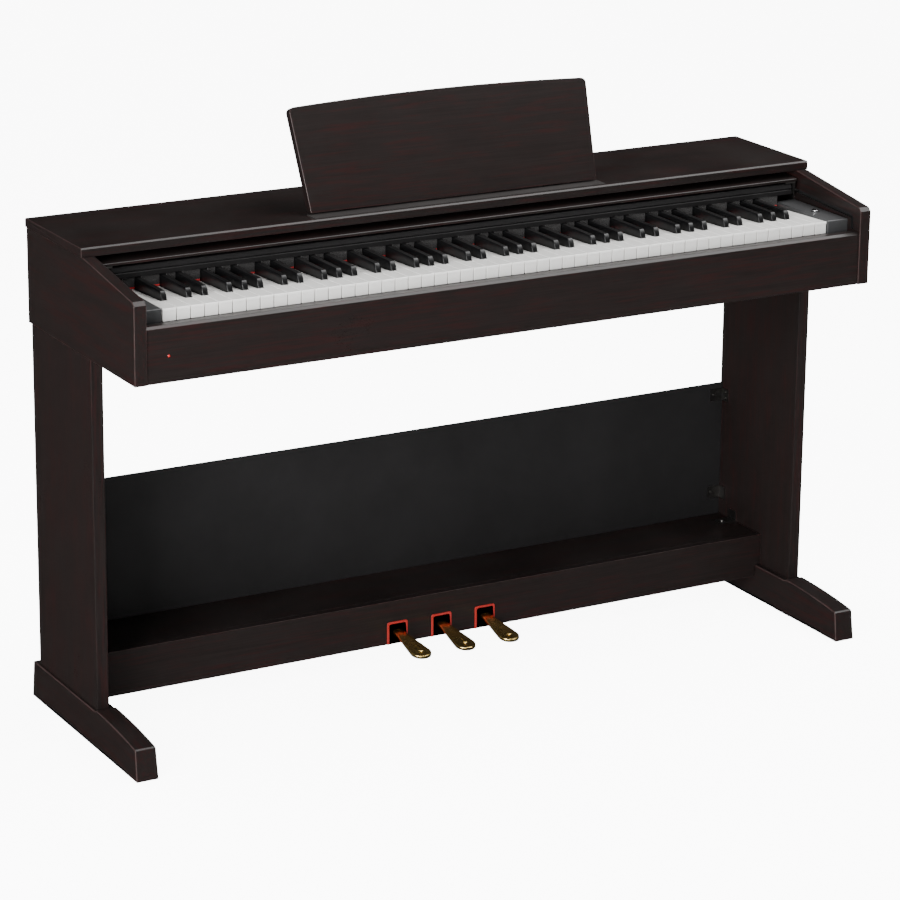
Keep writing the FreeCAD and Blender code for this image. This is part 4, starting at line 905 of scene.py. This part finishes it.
def music_rest():
    """Rest board drawn lying back, then turned up about its hinge. Its top edge is a shallow
    parabola: the crown height falls with the square of the distance from the middle. The bottom edge
    is sheared by minus the cotangent of the tilt, so that it is level when the board stands up."""
    hinge_y, hinge_z, tilt = at(187.0) / MM, 818.4, math.radians(70.0)
    low, high = 267.0, 278.0
    near, far = hinge_y, hinge_y + 167.0
    crown, corner = 7.0, 9.0
    x = np.linspace(high - corner * 1.25, -(high - corner * 1.25), 41)
    curve = far + crown - (crown - 0.4) * (x / (high - corner)) ** 2
    t = np.linspace(0.06, 0.94, 7) * QUARTER
    turn_x = high - corner * 1.25 + 1.25 * corner * np.cos(t) - 0.9 * (1 - np.sin(t))
    turn_y = far - corner + (curve[0] - far + corner) * np.sin(t)
    corners = [(-low, near), (low, near)] + list(zip(turn_x, turn_y)) + list(zip(x, curve))
    corners += list(zip(-turn_x[::-1], turn_y[::-1]))
    radii = [1.6, 1.6] + [0.0] * (len(corners) - 2)
    back = hinge_z + 3.5
    rest = board(corners, radii, back, back + 15.0, 1.5, "z", 4, 5)
    points, normals = rest["points"], rest["normals"]
    foot = points[:, 1] < (near + 12.0) * MM
    slant = -1.0 / math.tan(tilt)
    points[foot, 1] += slant * (points[foot, 2] - back * MM)
    normals[foot, 2] -= slant * normals[foot, 1]
    pivot = Matrix.Translation((0.0, hinge_y * MM, hinge_z * MM))
    raise_up = pivot @ Matrix.Rotation(tilt, 4, "X") @ pivot.inverted()
    piece("rest_board", [moved(rest, raise_up)], "rest", "rosewood", WOOD_X, "music_rest")


# ---- stand ----------------------------------------------------------------------------------

def legs_and_feet():
    """Legs, and feet with three pads under them, an arched back and sides that draw in towards the top."""
    x0, x1, rear, front, low, top = span("left_leg")
    ys = REAR_Y / MM
    corners = [(x0, ys - front), (x1, ys - front), (x1, ys - rear), (x0, ys - rear)]
    leg = board(corners, [1.6, 1.6, 0.8, 0.8], low, top, 0.2, "z", 2, 5)
    pair("leg", [leg], "case", "rosewood", WOOD_UP, "left_leg", "right_leg")

    x0, x1, rear, front, low, top = span("left_foot")
    rise = 3.8
    under = [(0.0, 0.0), (36.0, 0.0), (38.0, rise), (230.0, rise), (232.0, 0.0), (276.0, 0.0), (278.0, rise),
             (372.0, rise), (374.0, 0.0), (420.0, 0.0)]
    u = np.linspace(0, 1, 25)[1:-1]
    arc_depth = 409.5 + (262.0 - 409.5) * u
    arc_height = 52.5 + 12.0 * u + 6.1 * 4 * u * (1 - u) * 0.40
    corners = under + [(413.0, 50.0), (409.5, 52.5)] + list(zip(arc_depth, arc_height))
    corners += [(262.0, 64.5), (257.0, 62.0), (4.5, 62.0)]
    radii = [1.2] + [0.8] * 8 + [1.5, 3.0, 3.2] + [0.0] * len(u) + [2.0, 1.0, 2.4]
    outline, normals = fillets(yz(corners), radii, 5)
    foot = board_of(outline, normals, x0, x1, 2.0, "x", 5)
    middle = (x0 + x1) / 2 * MM
    draft = 1.5 / 70.0 / 19.0 / MM
    squeeze = 1 - draft * foot["points"][:, 2]
    foot["points"][:, 0] = middle + (foot["points"][:, 0] - middle) * squeeze
    pair("foot", [foot], "case", "rosewood", WOOD_Y, "left_foot", "right_foot")


def notched(x0, x1, low, top, cuts=()):
    """(z, x) corners of a board whose lower corners clear the feet, with slots open at the bottom.
    Each cut is (x0, x1, top)."""
    gap, foot_top = 0.3, 62.0
    foot_x, clear = FOOT_INNER_X - gap, foot_top + gap
    bottom = [(clear, x0), (clear, -foot_x), (low, -foot_x)]
    for a, b, z in cuts:
        bottom += [(low, a), (z, a), (z, b), (low, b)]
    bottom += [(low, foot_x), (clear, foot_x), (clear, x1), (top, x1), (top, x0)]
    return bottom


def stand_boards():
    """Back board, pedal rail with its slots, and the top board of the pedal box."""
    ys = REAR_Y / MM
    x0, x1, rear, front, low, top = span("stand_back_board")
    back = board(notched(x0, x1, low, top), 0.5, ys - front, ys - rear, 0.4, "y", 2, 2)
    piece("back_board", [back], "case", "black_board", CHARCOAL, "stand_back_board")

    x0, x1, rear, front, low, top = span("pedal_rail")
    cuts = [(x - 18.0, x + 18.0, 80.5) for x in PEDAL_X.values()]
    rail = board(notched(x0, x1, low, top, cuts), 0.8, ys - front, ys - rear, 0.6, "y", 3, 3)
    piece("pedal_rail_board", [rail], "case", "rosewood", WOOD_X, "pedal_rail")

    x0, x1, rear, front, low, top = span("pedal_box")
    lid = board(yz([(rear, low), (front, low), (front, top), (rear, top)]), 0.5, x0, x1, 0.3)
    piece("pedal_box_lid", [lid], "case", "rosewood", WOOD_X, "pedal_box")


def u_outline(x, half, top, wall, low):
    """(z, x) corners of an upside-down U around a slot."""
    return [(low, x - half - wall), (low, x - half), (top, x - half), (top, x + half), (low, x + half),
            (low, x + half + wall), (top + wall, x + half + wall), (top + wall, x - half - wall)]


def slot_linings():
    """Red linings of the pedal slots: a thin wall through the rail and a lip that stands proud."""
    ys = REAR_Y / MM
    rear, front, low = span("pedal_bezels")[2:5]
    shells = []
    lip_rear = 166.0
    for x in PEDAL_X.values():
        wall = u_outline(x, 15.5, 78.0, 2.5, low)
        lip = u_outline(x, 15.5, 78.0, 4.0, low)
        round_in = [0.5, 0.5, 2.5, 2.5, 0.5, 0.5, 4.0, 4.0]
        round_wall = [0.3, 0.3, 2.5, 2.5, 0.3, 0.3, 1.2, 1.2]
        shells.append(board(wall, round_wall, ys - lip_rear, ys - rear, 0.2, "y", 2, 4))
        shells.append(board(lip, round_in, ys - front, ys - lip_rear, (0.5, 0.1), "y", 3, 5))
    piece("slot_linings", shells, "case", "red_plastic", RED_PLASTIC, "pedal_bezels")


def pedal_shell(x):
    """Brass lever. In plan it is a straight shank that widens to a blade with an elliptic tip; the
    rings climb the sides, round the arris, and close over a crowned top: the height over the edge
    is the crown times 1 - (1 - s)^2, where s runs from the edge to the middle line."""
    ys = REAR_Y / MM
    shank, blade, rear, flare, widest, tip = 9.0, 18.0, 86.0, 180.0, 249.0, 267.0
    grow = np.linspace(0, 1, 12)
    side_r = flare + (widest - flare) * grow
    side_w = shank + (blade - shank) * (0.75 * grow + 0.25 * (3 * grow ** 2 - 2 * grow ** 3))
    t = np.linspace(0, QUARTER, 12)[1:]
    tip_r = widest + (tip - widest) * np.sin(t)
    tip_w = blade * np.cos(t) ** 0.92
    shank_r = np.linspace(rear, flare, 9)[:-1]
    r = np.concatenate([shank_r, side_r, tip_r])
    w = np.concatenate([np.full(8, shank), side_w, tip_w])
    right = np.stack([x + w, ys - r], 1)
    left = np.stack([x - w, ys - r], 1)[:-1]
    edge = np.concatenate([left, right[::-1]])
    nxt, prv = np.roll(edge, -1, 0), np.roll(edge, 1, 0)
    n = np.stack([(nxt - prv)[:, 1], -(nxt - prv)[:, 0]], 1)
    n /= lengths(n)
    depth = ys - edge[:, 1]
    bend, drop = 166, PEDAL_FALL * (267 - 166)
    above = np.interp(depth, [60, 95, bend, tip], [83.0, 83.0, 68.0, 68.0 - drop])
    below = np.interp(depth, [60, 90, bend, tip], [72.0, 68.0, 61.0, 61.0 - drop])
    rings = []
    for inset, lift in ((1.6, 0.0), (0.5, 0.35), (0.0, 1.4)):
        rings.append((edge - n * inset, below + lift))
    for a in np.linspace(0, QUARTER, 5):
        rings.append((edge - n * 1.8 * (1 - math.cos(a)), above - 0.7 - 1.8 * (1 - math.sin(a))))
    spine = np.stack([np.full(len(edge), x), np.maximum(edge[:, 1], ys - widest)], 1)
    inner = edge - n * 1.8
    for share in (0.12, 0.3, 0.5, 0.7, 0.88, 0.985):
        rings.append((inner + (spine - inner) * share, above - 0.7 + 0.9 * (1 - (1 - share) ** 2)))
    grid = np.stack([np.concatenate([p, z[:, None]], 1) for p, z in rings])
    return lofted(grid)


def pedals():
    """Each pedal is one piece: the lever, the hub on the axle, and the neck between them."""
    ys = REAR_Y / MM
    hub_profile, _ = fillets([(4.15, -8.5), (8.5, -8.5), (8.5, 8.5), (4.15, 8.5)], 0.8, 3)
    for name, x in PEDAL_X.items():
        hub = ring_around(hub_profile, "x", (ys - 75.0, 76.0, x))
        neck = board(yz([(82.0, 72.0), (92.0, 69.0), (92.0, 82.0), (82.0, 82.0)]), 0.8, x - 8.0, x + 8.0, 0.5)
        node = f"pedal_{name}"
        piece(node + "_lever", [pedal_shell(x), hub, neck], node, "brass", BRASS, node)


case_boards()
rear_and_bed()
end_blocks()
controls()
keys()
key_cover()
music_rest()
legs_and_feet()
stand_boards()
slot_linings()
pedals()
finish_nodes(FELT, "key_felt")
finish_nodes(STEEL, "corner_brackets", "cover_arms", "cover_shaft", "cover_rails", "rest_hinges",
             "rest_supports", "keyboard_frame", "screws")
finish_nodes(BLACK_STEEL, "pedal_frame")
finish_nodes(LEDGE_GREY, "rest_base")
finish_nodes(RUBBER, "contact_strip")
finish_nodes(BLACK, "speakers", "headphone_box", "jack_panel")
finish_nodes(GREEN, "circuit_boards")


# ---- studio ---------------------------------------------------------------------------------

ROOM_LIGHT = 0.02
SWEEP_GLOW = (1.1, 9.0)  # emission to the room, and to the camera
# name, place, aim, sides and power of each lamp
SOFTBOXES = [("overhead", (1.5, -0.6, 3.4), (0.1, 0.0, 0.5), (2.6, 2.6), 190.0),
             ("left_fill", (-3.6, -2.4, 1.9), (0.0, 0.0, 0.5), (2.0, 2.0), 330.0),
             ("front_fill", (-2.4, -5.0, 0.9), (0.0, 0.0, 0.5), (2.4, 2.4), 120.0)]
# place, yaw, pitch, roll, lens and shift
CAMERA = ((-2.6935, -4.7789, 2.1278), 0.51562, 0.28137, 0.01119, 137.997, (-0.0167, -0.1000))


def studio():
    """Pale sweep of floor and wall, nearly dark room, soft lamps above, left and in front. The sweep
    isn't seen in the varnish, as if the room beyond it were dark."""
    half, wall, bend = 30.0, 9.0, 3.0
    turn = np.linspace(0, QUARTER, 9)
    profile = [(-half, 0.0)] + [(wall - bend + bend * math.sin(t), bend - bend * math.cos(t)) for t in turn]
    profile.append((wall, 16.0))
    points = [(x, y, z) for y, z in profile for x in (-half, half)]
    faces = [(2 * i, 2 * i + 1, 2 * i + 3, 2 * i + 2) for i in range(len(profile) - 1)]
    mesh = bpy.data.meshes.new("sweep")
    mesh.from_pydata(points, [], faces)
    mesh.shade_smooth()
    sweep_object = bpy.data.objects.new("sweep", mesh)
    bpy.context.scene.collection.objects.link(sweep_object)
    material, tree, shader, v = start_material("pale_floor", Roughness=0.9, Specular_IOR_Level=0.1,
                                               Emission_Color=(1, 1, 1, 1))
    seen = add(tree, "ShaderNodeLightPath").outputs["Is Camera Ray"]
    tree.links.new(ranged(tree, seen, 0.0, 1.0, *SWEEP_GLOW), shader.inputs["Emission Strength"])
    cloud = stretched_noise(tree, v, (0.7, 0.7, 0.7), 2.0)
    tree.links.new(mixed(tree, cloud, (0.90, 0.90, 0.90, 1), (0.93, 0.93, 0.93, 1)),
                   shader.inputs["Base Color"])
    mesh.materials.append(material)
    sweep_object.visible_glossy = False

    world = bpy.data.worlds.new("room")
    world.use_nodes = True
    world.node_tree.nodes["Background"].inputs["Color"].default_value = (1, 1, 1, 1)
    world.node_tree.nodes["Background"].inputs["Strength"].default_value = ROOM_LIGHT
    bpy.context.scene.world = world
    for name, place, aim, wide, power in SOFTBOXES:
        lamp = bpy.data.lights.new(name, "AREA")
        lamp.shape = "RECTANGLE"
        lamp.size, lamp.size_y = wide
        lamp.energy = power
        holder = bpy.data.objects.new(name, lamp)
        bpy.context.scene.collection.objects.link(holder)
        look = Vector(aim) - Vector(place)
        holder.matrix_world = Matrix.Translation(place) @ look.to_track_quat("-Z", "Y").to_matrix().to_4x4()


def camera():
    """Camera in front of the left end, looking a little down; yaw, pitch and roll in radians."""
    place, yaw, pitch, roll, lens, shift = CAMERA
    data = bpy.data.cameras.new("camera")
    data.lens = lens
    data.sensor_width = 36.0
    data.shift_x, data.shift_y = shift
    data.clip_end = 200.0
    holder = bpy.data.objects.new("camera", data)
    bpy.context.scene.collection.objects.link(holder)
    holder.matrix_world = (Matrix.Translation(place) @ Matrix.Rotation(-yaw, 4, "Z")
                           @ Matrix.Rotation(QUARTER - pitch, 4, "X") @ Matrix.Rotation(roll, 4, "Z"))
    bpy.context.scene.camera = holder


studio()
camera()
